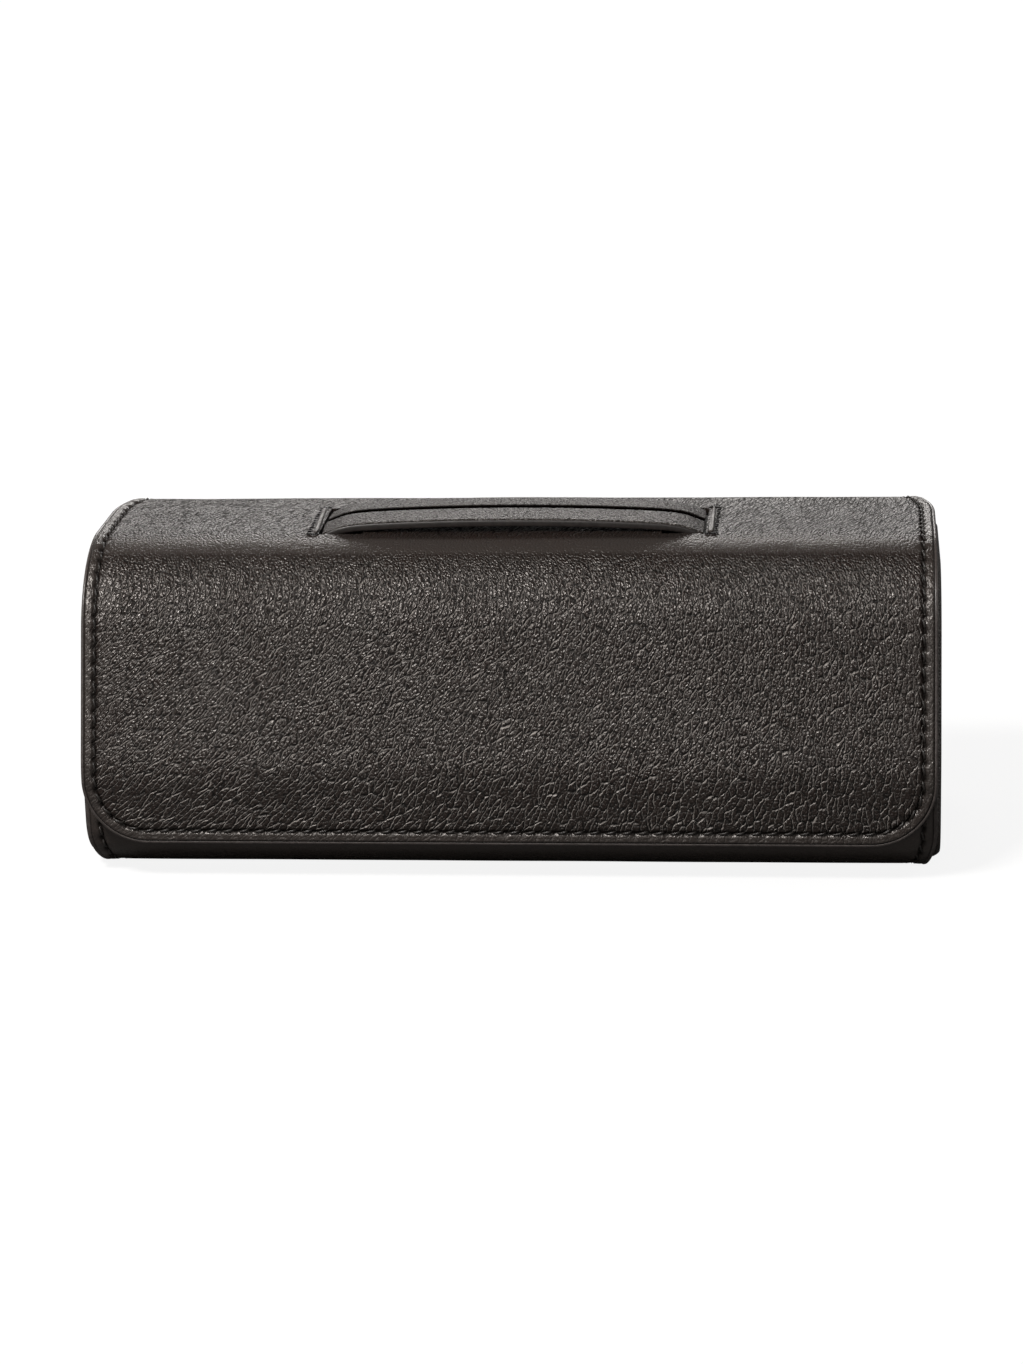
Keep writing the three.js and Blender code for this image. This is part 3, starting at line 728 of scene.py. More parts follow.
@dataclass(frozen=True)
class Outline:
    """The cut edge of a panel laid flat: two sides, and a free end with rounded corners."""

    half: float
    length: float
    corner: float

    def half_at(self, v: Array) -> Array:
        """Half the width at a distance from the free end; a quarter circle rounds each corner."""
        short = np.clip(self.corner - v, 0.0, self.corner)
        return self.half - self.corner + np.sqrt(self.corner**2 - short**2)

    def depth(self, x: Array, v: Array) -> Array:
        """Distance of a point from the cut edge, to its inside."""
        past_x = np.abs(x) - (self.half - self.corner)
        past_v = self.corner - v
        round_ = self.corner - np.hypot(past_x, past_v)
        straight = np.minimum(self.half - np.abs(x), v)
        return np.where((past_x > 0) & (past_v > 0), round_, straight)

    def along(self, x: Array, v: Array, margin: float) -> Array:
        """Distance along a line sewn a margin inside the edge, from the far end to the middle."""
        past_x = np.abs(x) - (self.half - self.corner)
        past_v = self.corner - v
        radius = self.corner - margin
        angle = np.arctan2(np.maximum(past_v, 0), np.maximum(past_x, 1e-9))
        side = self.length - v
        corner = self.length - self.corner + radius * angle
        end = self.length - self.corner + radius * math.pi / 2 - past_x
        on_side = self.half - np.abs(x) < v
        return np.where((past_x > 0) & (past_v > 0), corner, np.where(on_side, side, end))

    def half_path(self, margin: float) -> float:
        """Length of the sewn line from one far end to the middle of the free end."""
        radius = self.corner - margin
        return self.length - self.corner + radius * math.pi / 2 + self.half - self.corner

    def path(self, t: Array, margin: float) -> tuple[Array, Array, Array, Array]:
        """The line a margin inside the edge, from the left far end round to the right one.

        A straight side, a quarter circle about the corner's centre, half of the free end, and the
        same mirrored.

        Args:
            t: distances along the line.
            margin: how far inside the edge it runs.

        Returns:
            x, v and the direction (dx, dv) of the line.
        """
        whole = 2 * self.half_path(margin)
        mirrored = t > whole / 2
        near = np.where(mirrored, whole - t, t)
        radius = self.corner - margin
        side = self.length - self.corner
        angle = np.clip((near - side) / max(radius, 1e-9), 0.0, math.pi / 2)
        past = np.maximum(near - side - radius * math.pi / 2, 0.0)
        x = -(self.half - self.corner) - radius * np.cos(angle) + past
        v = np.where(near < side, self.length - near, self.corner - radius * np.sin(angle))
        dx = np.sin(angle)
        dv = -np.cos(angle)
        return np.where(mirrored, -x, x), v, dx, np.where(mirrored, -dv, dv)


@dataclass(frozen=True)
class Panel:
    """A sheet laid on a profile, with v counted from its free end."""

    profile: Profile
    free_end: float
    way: int
    outline: Outline
    narrowing: Callable[[Array, Array], Array] | None = None

    def distance(self, v: Array) -> Array:
        """Distance along the profile at v."""
        return self.free_end + self.way * v

    def place(self, x: Array, v: Array, lift: Array | float) -> Array:
        """Points across the case at x, at v, lifted outwards from the profile."""
        yz = self.profile.inset(self.distance(v), -np.asarray(lift))
        y, z = yz[..., 0], yz[..., 1]
        if self.narrowing:
            x = x * (1 - self.narrowing(y, z) / self.outline.half)
        return np.stack([np.broadcast_to(x, y.shape), y, z], axis=-1)

    def axes(self, v: Array) -> tuple[Array, Array]:
        """Unit vectors towards greater v and outwards."""
        _, heading = self.profile.frame(self.distance(v))
        nought = np.zeros_like(heading)
        onward = np.stack([nought, np.cos(heading), np.sin(heading)], axis=-1) * self.way
        outward = np.stack([nought, np.sin(heading), -np.cos(heading)], axis=-1)
        return onward, outward


def graded(length: float, zone: float, fine: float, coarse: float) -> Array:
    """Distances from 0 to a length, in fine steps through the first zone and coarse ones after."""
    first = np.linspace(0.0, zone, max(2, round(zone / fine) + 1))
    rest = np.linspace(zone, length, max(2, round((length - zone) / coarse) + 1))
    return np.concatenate([first, rest[1:]])


def ease(value: Array, low: float, high: float) -> Array:
    """A smooth step from 0 at low to 1 at high."""
    t = np.clip((value - low) / (high - low), 0.0, 1.0)
    return t * t * (3 - 2 * t)


def bell(value: Array, width: float) -> Array:
    """A bell curve, exp(-(value / width)^2)."""
    return np.exp(-((value / width) ** 2))


def swell(x: Array, s: Array, seed: int, size: float) -> Array:
    """Slow uneven waves between -1 and 1: a mean of eight sines of about one size, seeded.

    Args:
        x: one coordinate.
        s: the other.
        seed: which set of waves.
        size: their wave length.

    Returns:
        The height at each point.
    """
    rng = np.random.default_rng(seed)
    turn = rng.uniform(0, 2 * math.pi, (2, 8))
    pace = rng.uniform(0.6, 1.5, 8) * 2 * math.pi / size
    phase = (
        x[..., None] * np.cos(turn[0]) * pace + s[..., None] * np.sin(turn[0]) * pace + turn[1]
    )
    return np.sin(phase).mean(axis=-1)


# Meshes


def grid_quads(rows: int, columns: int, ring: bool = False, flip: bool = False) -> Array:
    """Faces of a grid of points, row after row.

    Args:
        rows: number of rows.
        columns: number of points in a row.
        ring: whether each row closes on itself.
        flip: whether the faces look the other way.

    Returns:
        Four point numbers for each face.
    """
    number = np.arange(rows * columns).reshape(rows, columns)
    if ring:
        number = np.concatenate([number, number[:, :1]], axis=1)
    quads = np.stack([number[:-1, :-1], number[:-1, 1:], number[1:, 1:], number[1:, :-1]], axis=-1)
    quads = quads.reshape(-1, 4)
    return quads[:, ::-1] if flip else quads


@dataclass
class Surface:
    """Points and faces of one mesh, with what its material reads."""

    points: Array
    quads: Array
    polygons: list[Array] = field(default_factory=list)
    grain: Array | None = None
    flow: Array | None = None
    marks: dict[str, Array] = field(default_factory=dict)

    def mesh(self, name: str, material: bpy.types.Material) -> bpy.types.Object:
        """Puts the arrays into a new mesh object at the origin.

        Args:
            name: name of the piece.
            material: its finish.

        Returns:
            The linked object, shaded smooth.
        """
        points = self.points.reshape(-1, 3)
        loops = np.concatenate([self.quads.ravel(), *self.polygons]).astype(np.int32)
        sizes = np.array([4] * len(self.quads) + [len(p) for p in self.polygons], np.int32)
        mesh = bpy.data.meshes.new(name)
        mesh.vertices.add(len(points))
        mesh.vertices.foreach_set("co", points.astype(np.float32).ravel())
        mesh.loops.add(len(loops))
        mesh.loops.foreach_set("vertex_index", loops)
        mesh.polygons.add(len(sizes))
        starts = np.concatenate([[0], np.cumsum(sizes)[:-1]]).astype(np.int32)
        mesh.polygons.foreach_set("loop_start", starts)
        mesh.polygons.foreach_set("loop_total", sizes)
        mesh.polygons.foreach_set("use_smooth", np.ones(len(sizes), bool))
        flow = self.grain if self.flow is None else self.flow
        for title, chart in (("grain", self.grain), ("flow", flow)):
            if chart is not None:
                layer = mesh.uv_layers.new(name=title)
                places = chart.reshape(-1, 2)[loops]
                layer.uv.foreach_set("vector", places.astype(np.float32).ravel())
        for mark, value in self.marks.items():
            attribute = mesh.attributes.new(mark, "FLOAT", "POINT")
            attribute.data.foreach_set("value", value.astype(np.float32).ravel())
        mesh.materials.append(material)
        mesh.update(calc_edges=True)
        mesh.validate()
        mesh.set_sharp_from_angle(angle=SHARP_ANGLE)
        made = bpy.data.objects.new(name, mesh)
        bpy.context.scene.collection.objects.link(made)
        log.info("%s: %d points, %d faces", name, len(points), len(sizes))
        return made


def closed_rings(points: Array, flip: bool = False) -> Surface:
    """Rings of points joined each to the next, with the first and the last ring capped.

    Args:
        points: rings of the same number of points, (rings, points, 3).
        flip: whether the faces look the other way.

    Returns:
        The closed surface.
    """
    rows, count = points.shape[:2]
    number = np.arange(rows * count).reshape(rows, count)
    caps = [number[0][::-1], number[-1]]
    if flip:
        caps = [cap[::-1] for cap in caps]
    return Surface(points, grid_quads(rows, count, ring=True, flip=flip), caps)


def turning(ring: Array) -> float:
    """Twice the area of a closed ring of (a, b) points, positive where it runs counter-clockwise."""
    turned = np.roll(ring, -1, axis=0)
    return float(np.sum(ring[:, 0] * turned[:, 1] - ring[:, 1] * turned[:, 0]))


def travelled(points: Array) -> Array:
    """Distance along a line of points, from its first point."""
    step = np.linalg.norm(np.diff(points, axis=0), axis=1)
    return np.concatenate([[0.0], np.cumsum(step)])


def sweep(centres: Array, across: Array, up: Array, section: Array) -> Surface:
    """A closed section carried along a path: centre + a * across + b * up, with both ends capped.

    Args:
        centres: points of the path, (n, 3).
        across: unit vectors for the section's first coordinate, (n, 3).
        up: unit vectors for its second coordinate, (n, 3).
        section: (k, 2), or (n, k, 2) where it changes along the path.

    Returns:
        The surface, with a grain map of length along the path and round the section.
    """
    count = len(centres)
    section = np.broadcast_to(section, (count, *section.shape[-2:]))
    points = (
        centres[:, None, :]
        + section[..., :1] * across[:, None, :]
        + section[..., 1:] * up[:, None, :]
    )
    forward = np.cross(across[0], up[0])
    flip = bool(np.dot(centres[1] - centres[0], forward) * turning(section[0]) < 0)
    surface = closed_rings(points, flip)
    places = np.meshgrid(travelled(centres), travelled(section[0]), indexing="ij")
    surface.grain = np.stack(places, axis=-1) / MM
    return surface


def superellipse(half_a: float, half_b: float, power: float, count: int) -> Array:
    """A closed section whose |a/half_a|^power + |b/half_b|^power is 1."""
    angle = np.linspace(0, 2 * math.pi, count, endpoint=False)
    cosine = np.cos(angle)
    sine = np.sin(angle)
    a = half_a * np.sign(cosine) * np.abs(cosine) ** (2 / power)
    b = half_b * np.sign(sine) * np.abs(sine) ** (2 / power)
    return np.stack([a, b], axis=-1)


@dataclass(frozen=True)
class Thread:
    """One stitch of two-ply thread, from hole to hole."""

    length: float = 2.9 * MM
    radius: float = 0.33 * MM
    rise: float = 0.42 * MM
    sink: float = 0.10 * MM
    slant: float = math.radians(14)
    rings: int = 7
    sides: int = 8

    def stitches(self, points: Array, along: Array, outward: Array, slant: Array) -> Surface:
        """The same stitch at many places.

        A ring's centre runs over a low parabola, its radius shrinks to nothing at both ends, and
        two lobes wind once round it as the plies do.

        Args:
            points: middles of the stitches on the leather, (n, 3).
            along: unit vectors along the seam.
            outward: unit vectors out of the leather.
            slant: angles by which the stitches turn off the seam.

        Returns:
            All stitches as one surface.
        """
        share = np.linspace(-1, 1, self.rings)
        angle = np.linspace(0, 2 * math.pi, self.sides, endpoint=False)
        thick = self.radius * np.sqrt(np.clip(1 - np.abs(share) ** 5, 0.02, 1))
        lobes = 1 + 0.2 * np.cos(2 * (angle[None, :] - 1.7 * math.pi * share[:, None]))
        reach = thick[:, None] * lobes
        a = np.broadcast_to((self.length / 2 * share)[:, None], reach.shape)
        b = reach * np.cos(angle)
        c = (self.rise * (1 - share**2) - self.sink)[:, None] + reach * np.sin(angle)
        across = np.cross(outward, along)
        turned = np.cos(slant)[:, None] * along + np.sin(slant)[:, None] * across
        beside = np.cross(outward, turned)
        local = np.stack([a, b, c], axis=-1).reshape(1, -1, 3)
        made = (
            points[:, None, :]
            + local[..., :1] * turned[:, None, :]
            + local[..., 1:2] * beside[:, None, :]
            + local[..., 2:] * outward[:, None, :]
        )
        size = self.rings * self.sides
        base = np.arange(len(points)) * size
        quads = grid_quads(self.rings, self.sides, ring=True)
        first = np.arange(self.sides)[::-1]
        last = size - self.sides + np.arange(self.sides)
        caps = [*(base[:, None] + first), *(base[:, None] + last)]
        return Surface(made, (base[:, None, None] + quads).reshape(-1, 4), caps)


@dataclass(frozen=True)
class Seam:
    """A sewn edge: a line of stitches, the leather pulled down along it, and a rolled margin."""

    margin: float = 2.75 * MM
    pitch: float = 4.1 * MM
    pressed: float = 0.16 * MM
    groove: float = 0.55 * MM
    groove_width: float = 0.50 * MM
    roll: float = 0.34 * MM
    pucker: float = 0.26 * MM
    recovery: float = 3.0 * MM
    wave: float = 0.35 * MM
    rim: float = 0.8 * MM
    rounding: float = 0.40 * MM
    thread: Thread = field(default_factory=Thread)

    def pitch_for(self, length: float) -> float:
        """The pitch nearest to the seam's own that divides a length into whole stitches."""
        return length / round(length / self.pitch)

    def relief(self, depth: Array, along: Array, pitch: float) -> tuple[Array, Array]:
        """How a sewn edge lowers the leather, and the shade painted into its groove, holes and cut
        edge.

        The margin is pressed down and rises over 3 mm behind the seam; a bell-shaped groove runs
        along the stitches, deepest at the holes; the margin rolls up beside each stitch, and behind
        the seam the leather bulges between the holes; the last 0.8 mm round off towards the edge.

        Args:
            depth: distance from the cut edge.
            along: distance along the seam.
            pitch: distance between holes.

        Returns:
            The lift, which is negative where the leather sinks, and the painted shade from 0 to 1.
        """
        hole = 0.5 + 0.5 * np.cos(2 * math.pi * along / pitch)
        off = depth - self.margin + self.wave * (hole - 0.5)
        lift = -self.pressed * (1 - ease(off, 0.0, self.recovery))
        lift -= self.groove * bell(off, self.groove_width) * (0.5 + 0.5 * hole)
        outer = ease(-off, 0.15 * MM, 1.1 * MM)
        lift += self.roll * outer * (1 - 0.50 * hole * (1 - ease(-off, 1.2 * MM, 2.2 * MM)))
        lift += self.pucker * bell(off - 0.85 * MM, 0.7 * MM) * (1 - 1.5 * hole)
        rim = np.clip(1 - depth / self.rim, 0, 1)
        lift -= self.rounding * (1 - np.sqrt(1 - 0.98 * rim**2))
        # painted shade along the groove, in the stitch holes, and on the last half millimetre of the
        # cut edge
        tight = bell(off - 0.15 * MM, 0.36 * MM)
        holes = bell(off + 0.10 * MM, 0.62 * MM) * hole**3
        cut = 1 - ease(depth, 0.1 * MM, 0.5 * MM)
        return lift, np.maximum.reduce([0.9 * tight, holes, 0.8 * cut])

    def line(self, panel: Panel, name: str, material: bpy.types.Material) -> bpy.types.Object:
        """The stitches of a panel, one in the middle of each pitch, all leaning the same way.

        Args:
            panel: the panel whose edge is sewn.
            name: name of the piece.
            material: the thread's finish.

        Returns:
            The stitches as one piece.
        """
        outline = panel.outline
        half = outline.half_path(self.margin)
        pitch = self.pitch_for(half)
        t = (np.arange(round(2 * half / pitch)) + 0.5) * pitch
        x, v, dx, dv = outline.path(t, self.margin)
        onward, outward = panel.axes(v)
        along = dx[:, None] * ALONG_X + dv[:, None] * onward
        below = ease(-outward[:, 2], 0.5, 0.9)
        lift = -self.pressed - 0.35 * self.groove - 0.5 * MM * below
        slant = np.full_like(t, self.thread.slant)
        points = panel.place(x, v, lift)
        return self.thread.stitches(points, along, outward, slant).mesh(name, material)


@dataclass(frozen=True)
class Layer:
    """A sheet on a panel: one face is shown in full detail, and straight strips close the other."""

    panel: Panel
    columns: Array
    rows: Array

    def surface(
        self,
        shown: Callable[[Array, Array], Array],
        hidden: float,
        half: Callable[[Array], Array],
        inner: bool,
    ) -> tuple[Surface, Array, Array]:
        """Points (x, v) with x = share * half(v), lifted by a relief.

        Args:
            shown: lift of the shown face at (x, v).
            hidden: lift of the other face.
            half: half the width at v.
            inner: whether the shown face looks into the case.

        Returns:
            The closed surface, and x and v of the shown points.
        """
        share, v = np.meshgrid(self.columns, self.rows)
        x = share * half(v)
        count_rows, count = share.shape
        front = self.panel.place(x, v, shown(x, v))
        ends = np.stack([x[:, 0], x[:, -1]], axis=1)
        back = self.panel.place(ends, v[:, :2], np.full_like(ends, hidden))
        points = np.concatenate([front.reshape(-1, 3), back.reshape(-1, 3)])
        flip = (self.panel.way > 0) != inner
        number = np.arange(share.size).reshape(share.shape)
        under = number.size + np.arange(2 * count_rows).reshape(count_rows, 2)
        strip = np.stack([under[:-1, 1], under[:-1, 0], under[1:, 0], under[1:, 1]], axis=-1)
        left = np.stack([under[:-1, 0], number[:-1, 0], number[1:, 0], under[1:, 0]], axis=-1)
        right = np.stack([number[:-1, -1], under[:-1, 1], under[1:, 1], number[1:, -1]], axis=-1)
        walls = np.concatenate([strip, left, right])
        caps = [
            np.concatenate([number[0][::-1], under[0]]),
            np.concatenate([number[-1], under[-1][::-1]]),
        ]
        if flip:
            walls = walls[:, ::-1]
            caps = [cap[::-1] for cap in caps]
        quads = np.concatenate([grid_quads(count_rows, count, flip=flip), walls])
        return Surface(points, quads, caps), x, v


def with_ends(values: Array) -> Array:
    """Values of the shown points, followed by those of the two ends of each row."""
    ends = np.stack([values[:, 0], values[:, -1]], axis=1)
    each = values.shape[2:]
    return np.concatenate([values.reshape(-1, *each), ends.reshape(-1, *each)])


# Sub-assemblies


@dataclass(frozen=True)
class Slot:
    """Opening in the lid through which one end of the strap goes."""

    inner: float
    outer: float
    centre: float
    half_length: float

    @classmethod
    def from_frame(cls, length: float = 11.5 * MM) -> Slot:
        """Reads the slot's place from the right welt's box."""
        low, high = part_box("right_slot_welt")
        return cls(
            inner=low.x - length,
            outer=low.x,
            centre=(low.y + high.y) / 2,
            half_length=(high.y - low.y) / 2,
        )


@dataclass
class Wrap:
    """The outer leather: one skin round the body and its hinge, one over the lid and flap."""

    section: Section
    finishes: Finishes
    slot: Slot
    seam: Seam = field(default_factory=Seam)
    corner: float = 16 * MM
    front_corner: float = 4 * MM
    edge_inset: float = 0.75 * MM
    join_angle: float = math.radians(45)
    edge_zone: float = 7 * MM
    fold_reach: float = 5 * MM
    bend_start: float = math.radians(18)
    bend_end: float = math.radians(70)
    slot_depth: float = 2.6 * MM
    slot_wall: float = 0.12 * MM
    slot_trim: float = 0.40 * MM
    body_bead: float = 1.05 * MM
    lid_step: float = 0.72 * MM
    margin_calm: float = 0.66
    bend_calm: float = 0.82
    side_calm: float = 0.45
    body_lines: float = 0.5
    top_lines: float = 0.42
    swing_right: float = 0.35
    swing_left: float = 0.42
    top_slant: float = 0.45
    front_draw: float = 0.4
    top_draw: float = 2.2
    grain_swell: float = 2.5 * MM
    body_grain_at: float = 400.0
    lid_grain_at: float = 50.0

    def __post_init__(self) -> None:
        """Lays the two panels on their profiles, joined out of sight in the back bend."""
        wrap = self.section.wrap_profile()
        lid = self.section.lid_profile()
        half = self.section.wrap_half - self.edge_inset
        to_join = self.section.back_bend * self.join_angle
        body_length = wrap.start_of(7) + to_join
        lid_from = lid.start_of(1) + to_join
        self.hinge = wrap.start_of(6) + self.section.hinge_height - self.section.base_bend
        self.bend = lid.start_of(3)
        narrowing = self.section.drawn_in
        body_outline = Outline(half, body_length, self.front_corner)
        self.body_panel = Panel(wrap, 0.0, 1, body_outline, narrowing)
        lid_end = lid.length - 0.40 * MM
        lid_outline = Outline(half, lid_end - lid_from, self.corner)
        self.lid_panel = Panel(lid, lid_end, -1, lid_outline, narrowing)

    def build(self) -> None:
        """Builds the skins, their painted edges and their stitches."""
        body = self.body_skin()
        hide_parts("body_leather")
        lid = self.lid_skin()
        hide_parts("lid_leather", "flap_leather")
        for skin, panel in ((body, self.body_panel), (lid, self.lid_panel)):
            prefix = skin.name.replace("_skin", "")
            edge = self.painted_edge(panel, f"{prefix}_painted_edge")
            stitches = self.seam.line(panel, f"{prefix}_stitches", self.finishes.thread)
            for piece in (skin, edge, stitches):
                self.bend_piece(piece, panel)

    def bend_piece(self, piece: bpy.types.Object, panel: Panel) -> None:
        """Bakes a piece's placement into its points.

        Args:
            piece: a piece of either skin.
            panel: the panel that it belongs to.
        """
        if panel is self.body_panel:
            back = self.section.depth / 2
            low = (0.0, back, self.section.hinge_height - self.fold_reach)
            high = (0.0, back, self.section.hinge_height + self.fold_reach)
            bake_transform(piece)
            return
        y, z = self.section.bend_centre
        radius = self.section.front_bend
        start, end = (
            (0.0, y - radius * math.sin(angle), z + radius * math.cos(angle))
            for angle in (self.bend_start, self.bend_end)
        )
        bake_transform(piece)

    def columns(self, step: float, extra: Sequence[float] = ()) -> Array:
        """Shares of the half width, close together along the edges."""
        half = self.section.wrap_half - self.edge_inset
        inwards = graded(half, self.edge_zone, 0.3 * MM, step)
        right = 1 - inwards[::-1] / half
        shares = np.concatenate([-right[::-1], right[1:], np.array(extra) / half])
        return np.unique(np.round(shares, 9))

    def sewn(self, panel: Panel, x: Array, v: Array) -> tuple[Array, Array, Array]:
        """Lift, painted shade and calmness of a panel's sewn edge at each point."""
        outline = panel.outline
        pitch = self.seam.pitch_for(outline.half_path(self.seam.margin))
        depth = outline.depth(x, v)
        along = outline.along(x, v, self.seam.margin)
        lift, dark = self.seam.relief(depth, along, pitch)
        calm = self.margin_calm * (1 - ease(depth, 2.3 * MM, 4.5 * MM))
        return lift, dark, calm

    def body_skin(self) -> bpy.types.Object:
        """Body leather: soft waves, a sewn edge, and a crease along the hinge with shade painted into
        it.
        """
        panel = self.body_panel
        rows = graded(panel.outline.length, self.edge_zone, 0.35 * MM, 0.8 * MM)
        layer = Layer(panel, self.columns(1.5 * MM), rows)

        def relief(x: Array, v: Array) -> Array:
            """Lift of the outer face."""
            lift, _, _ = self.sewn(panel, x, v)
            below = ease(-panel.axes(v)[1][..., 2], 0.5, 0.95)
            sunk = 0.45 * MM * bell(v - self.hinge, 1.1 * MM) + 0.24 * MM * below
            return lift + 0.10 * MM * swell(x, v, 3, 60 * MM) - sunk

        half = panel.outline.half_at
        surface, x, v = layer.surface(relief, -self.section.leather, half, inner=False)
        _, dark, calm = self.sewn(panel, x, v)
        # painted shade along the hinge crease
        hinge = 0.5 * bell(v - self.hinge, 0.8 * MM)
        front = (0.35 + 0.65 * ease(v, 16 * MM, 50 * MM)) * (1 - ease(v, 50 * MM, 70 * MM))
        surface.grain = with_ends(np.stack([x + 0.25 * v, v], axis=-1) / MM + self.body_grain_at)
        surface.marks["crease"] = with_ends(np.maximum(dark, hinge))
        surface.marks["calm"] = with_ends(np.maximum(calm, front))
        surface.marks["lines"] = with_ends(np.full_like(x, self.body_lines))
        return surface.mesh("body_skin", self.finishes.skin)

    def lid_skin(self) -> bpy.types.Object:
        """Lid and flap leather: a sewn edge, soft waves, and two troughs for the strap's ends, painted
        dark inside.
        """
        panel = self.lid_panel
        outline = panel.outline
        slot = self.slot
        top_start = panel.profile.start_of(2)
        slot_s = top_start + self.section.depth / 2 - self.section.back_bend - slot.centre
        slot_v = panel.free_end - slot_s
        wall = self.slot_wall
        far = slot.outer - self.slot_trim
        walls = [edge + off for edge in (slot.inner, far) for off in (-wall, wall)]
        cuts_x = [side.value * place for side in Side for place in walls]
        cuts_v = [slot_v + side * slot.half_length + off for side in (-1, 1) for off in (-wall, wall)]
        angle = np.linspace(0, QUARTER, 44)
        bend_rows = outline.corner * (1 - np.cos(angle))
        rest = np.arange(outline.corner, outline.length, self.lid_step)
        rows = np.unique(np.round(np.concatenate([bend_rows, rest, [outline.length], cuts_v]), 7))
        layer = Layer(panel, self.columns(self.lid_step, cuts_x), rows)

        def trough(x: Array, v: Array) -> Array:
            """1 inside the two slots and 0 outside them, with steep walls."""
            across = ease(np.abs(x), slot.inner - wall, slot.inner + wall)
            across = across * (1 - ease(np.abs(x), far - wall, far + wall))
            along = 1 - ease(np.abs(v - slot_v), slot.half_length - wall, slot.half_length + wall)
            return across * along

        def relief(x: Array, v: Array) -> Array:
            """Lift of the outer face."""
            lift, _, _ = self.sewn(panel, x, v)
            waves = 0.16 * MM * swell(x, v, 5, 70 * MM) + 0.05 * MM * swell(x, v, 6, 18 * MM)
            away = ease(outline.depth(x, v), 2 * MM, 12 * MM)
            return lift + waves * away - self.slot_depth * trough(x, v)

        surface, x, v = layer.surface(relief, -self.section.leather, outline.half_at, inner=False)
        _, dark, calm = self.sewn(panel, x, v)
        surface.grain = with_ends(self.grain(x, panel.distance(v), 0.5))
        surface.flow = with_ends(self.grain(x, panel.distance(v), 1.0))
        # painted shade: the slot troughs are marked as creases and drawn black
        surface.marks["crease"] = with_ends(np.maximum(dark, trough(x, v)))
        past = panel.distance(v) - self.bend
        stretched = self.bend_calm * bell(past - 9 * MM, 6 * MM)
        aside = self.side_calm * (1 - ease(outline.half_at(v) - np.abs(x), 3 * MM, 14 * MM))
        surface.marks["calm"] = with_ends(np.maximum.reduce([calm, stretched, aside]))
        on_top = self.top_lines * (1 - ease(past, -1 * MM, 9 * MM))
        surface.marks["lines"] = with_ends(np.maximum(on_top, ease(past, 9 * MM, 24 * MM)))
        return surface.mesh("lid_skin", self.finishes.skin)

    def grain(self, x: Array, s: Array, follow: float) -> Array:
        """Grain map of the lid and flap, in millimetres.

        The grain is drawn out backwards on the top and along the fall of the flap on the front, and
        its line swings from leftwards to rightwards and back, most on the left: with g the
        slope of that line, the first coordinate is x minus the integral of g, and the second is the
        integral of one over the drawing.

        Args:
            x: place across the case.
            s: distance along the lid's profile.
            follow: how much of the fall line's swing the map takes on.

        Returns:
            The map's two coordinates.
        """
        steps = np.linspace(0.0, self.lid_panel.free_end + 1 * MM, 600)
        past = steps - self.bend
        width = steps[1] - steps[0]
        rightwards = ease(past, 6 * MM, 14 * MM) * (1 - ease(past, 18 * MM, 27 * MM))
        leftwards = self.swing_left * ease(past, 20 * MM, 42 * MM)
        on_top = 1 - ease(past, -3 * MM, 8 * MM)
        on_front = ease(past, 4 * MM, 14 * MM)
        drawn = 1.0 + follow * (self.front_draw * on_front + self.top_draw * on_top)
        slope = self.swing_right * rightwards - self.top_slant * on_top
        first = np.interp(s, steps, np.cumsum(slope) * width)
        second = np.interp(s, steps, np.cumsum(leftwards) * width)
        fall = np.interp(s, steps, np.cumsum(1.0 / drawn) * width)
        share = 1 - x / self.section.wrap_half
        across = x + follow * (share * second - first) + self.grain_swell * swell(x, s, 9, 80 * MM)
        return np.stack([across, fall], axis=-1) / MM + self.lid_grain_at

    def painted_edge(self, panel: Panel, name: str) -> bpy.types.Object:
        """A painted bead round a panel's cut edge, as thick as the layers that it closes.

        A rounded section is carried along the outline. On the body it covers one layer of leather,
        and on the lid it covers the whole lay-up.

        Args:
            panel: the panel.
            name: name of the piece.

        Returns:
            The bead.
        """
        outline = panel.outline
        whole = 2 * outline.half_path(0.0)
        t = np.linspace(0.0, whole, round(whole / (1.0 * MM)))
        x, v, dx, dv = outline.path(t, -0.30 * MM)
        onward, outward = panel.axes(v)
        beyond = dv[:, None] * ALONG_X - dx[:, None] * onward
        thick = np.full_like(t, self.section.panel - 0.45 * MM)
        if panel is self.body_panel:
            share = ease(v, self.hinge - 2 * MM, self.hinge + 3 * MM)
            thick = self.body_bead + share * (thick - self.body_bead)
        unit = superellipse(0.55 * MM, 0.5, 3.0, 18)
        section = np.broadcast_to(unit, (len(t), *unit.shape)).copy()
        section[..., 1] *= thick[:, None]
        centres = panel.place(x, v, -0.03 * MM - thick / 2)
        return sweep(centres, beyond, outward, section).mesh(name, self.finishes.edge)


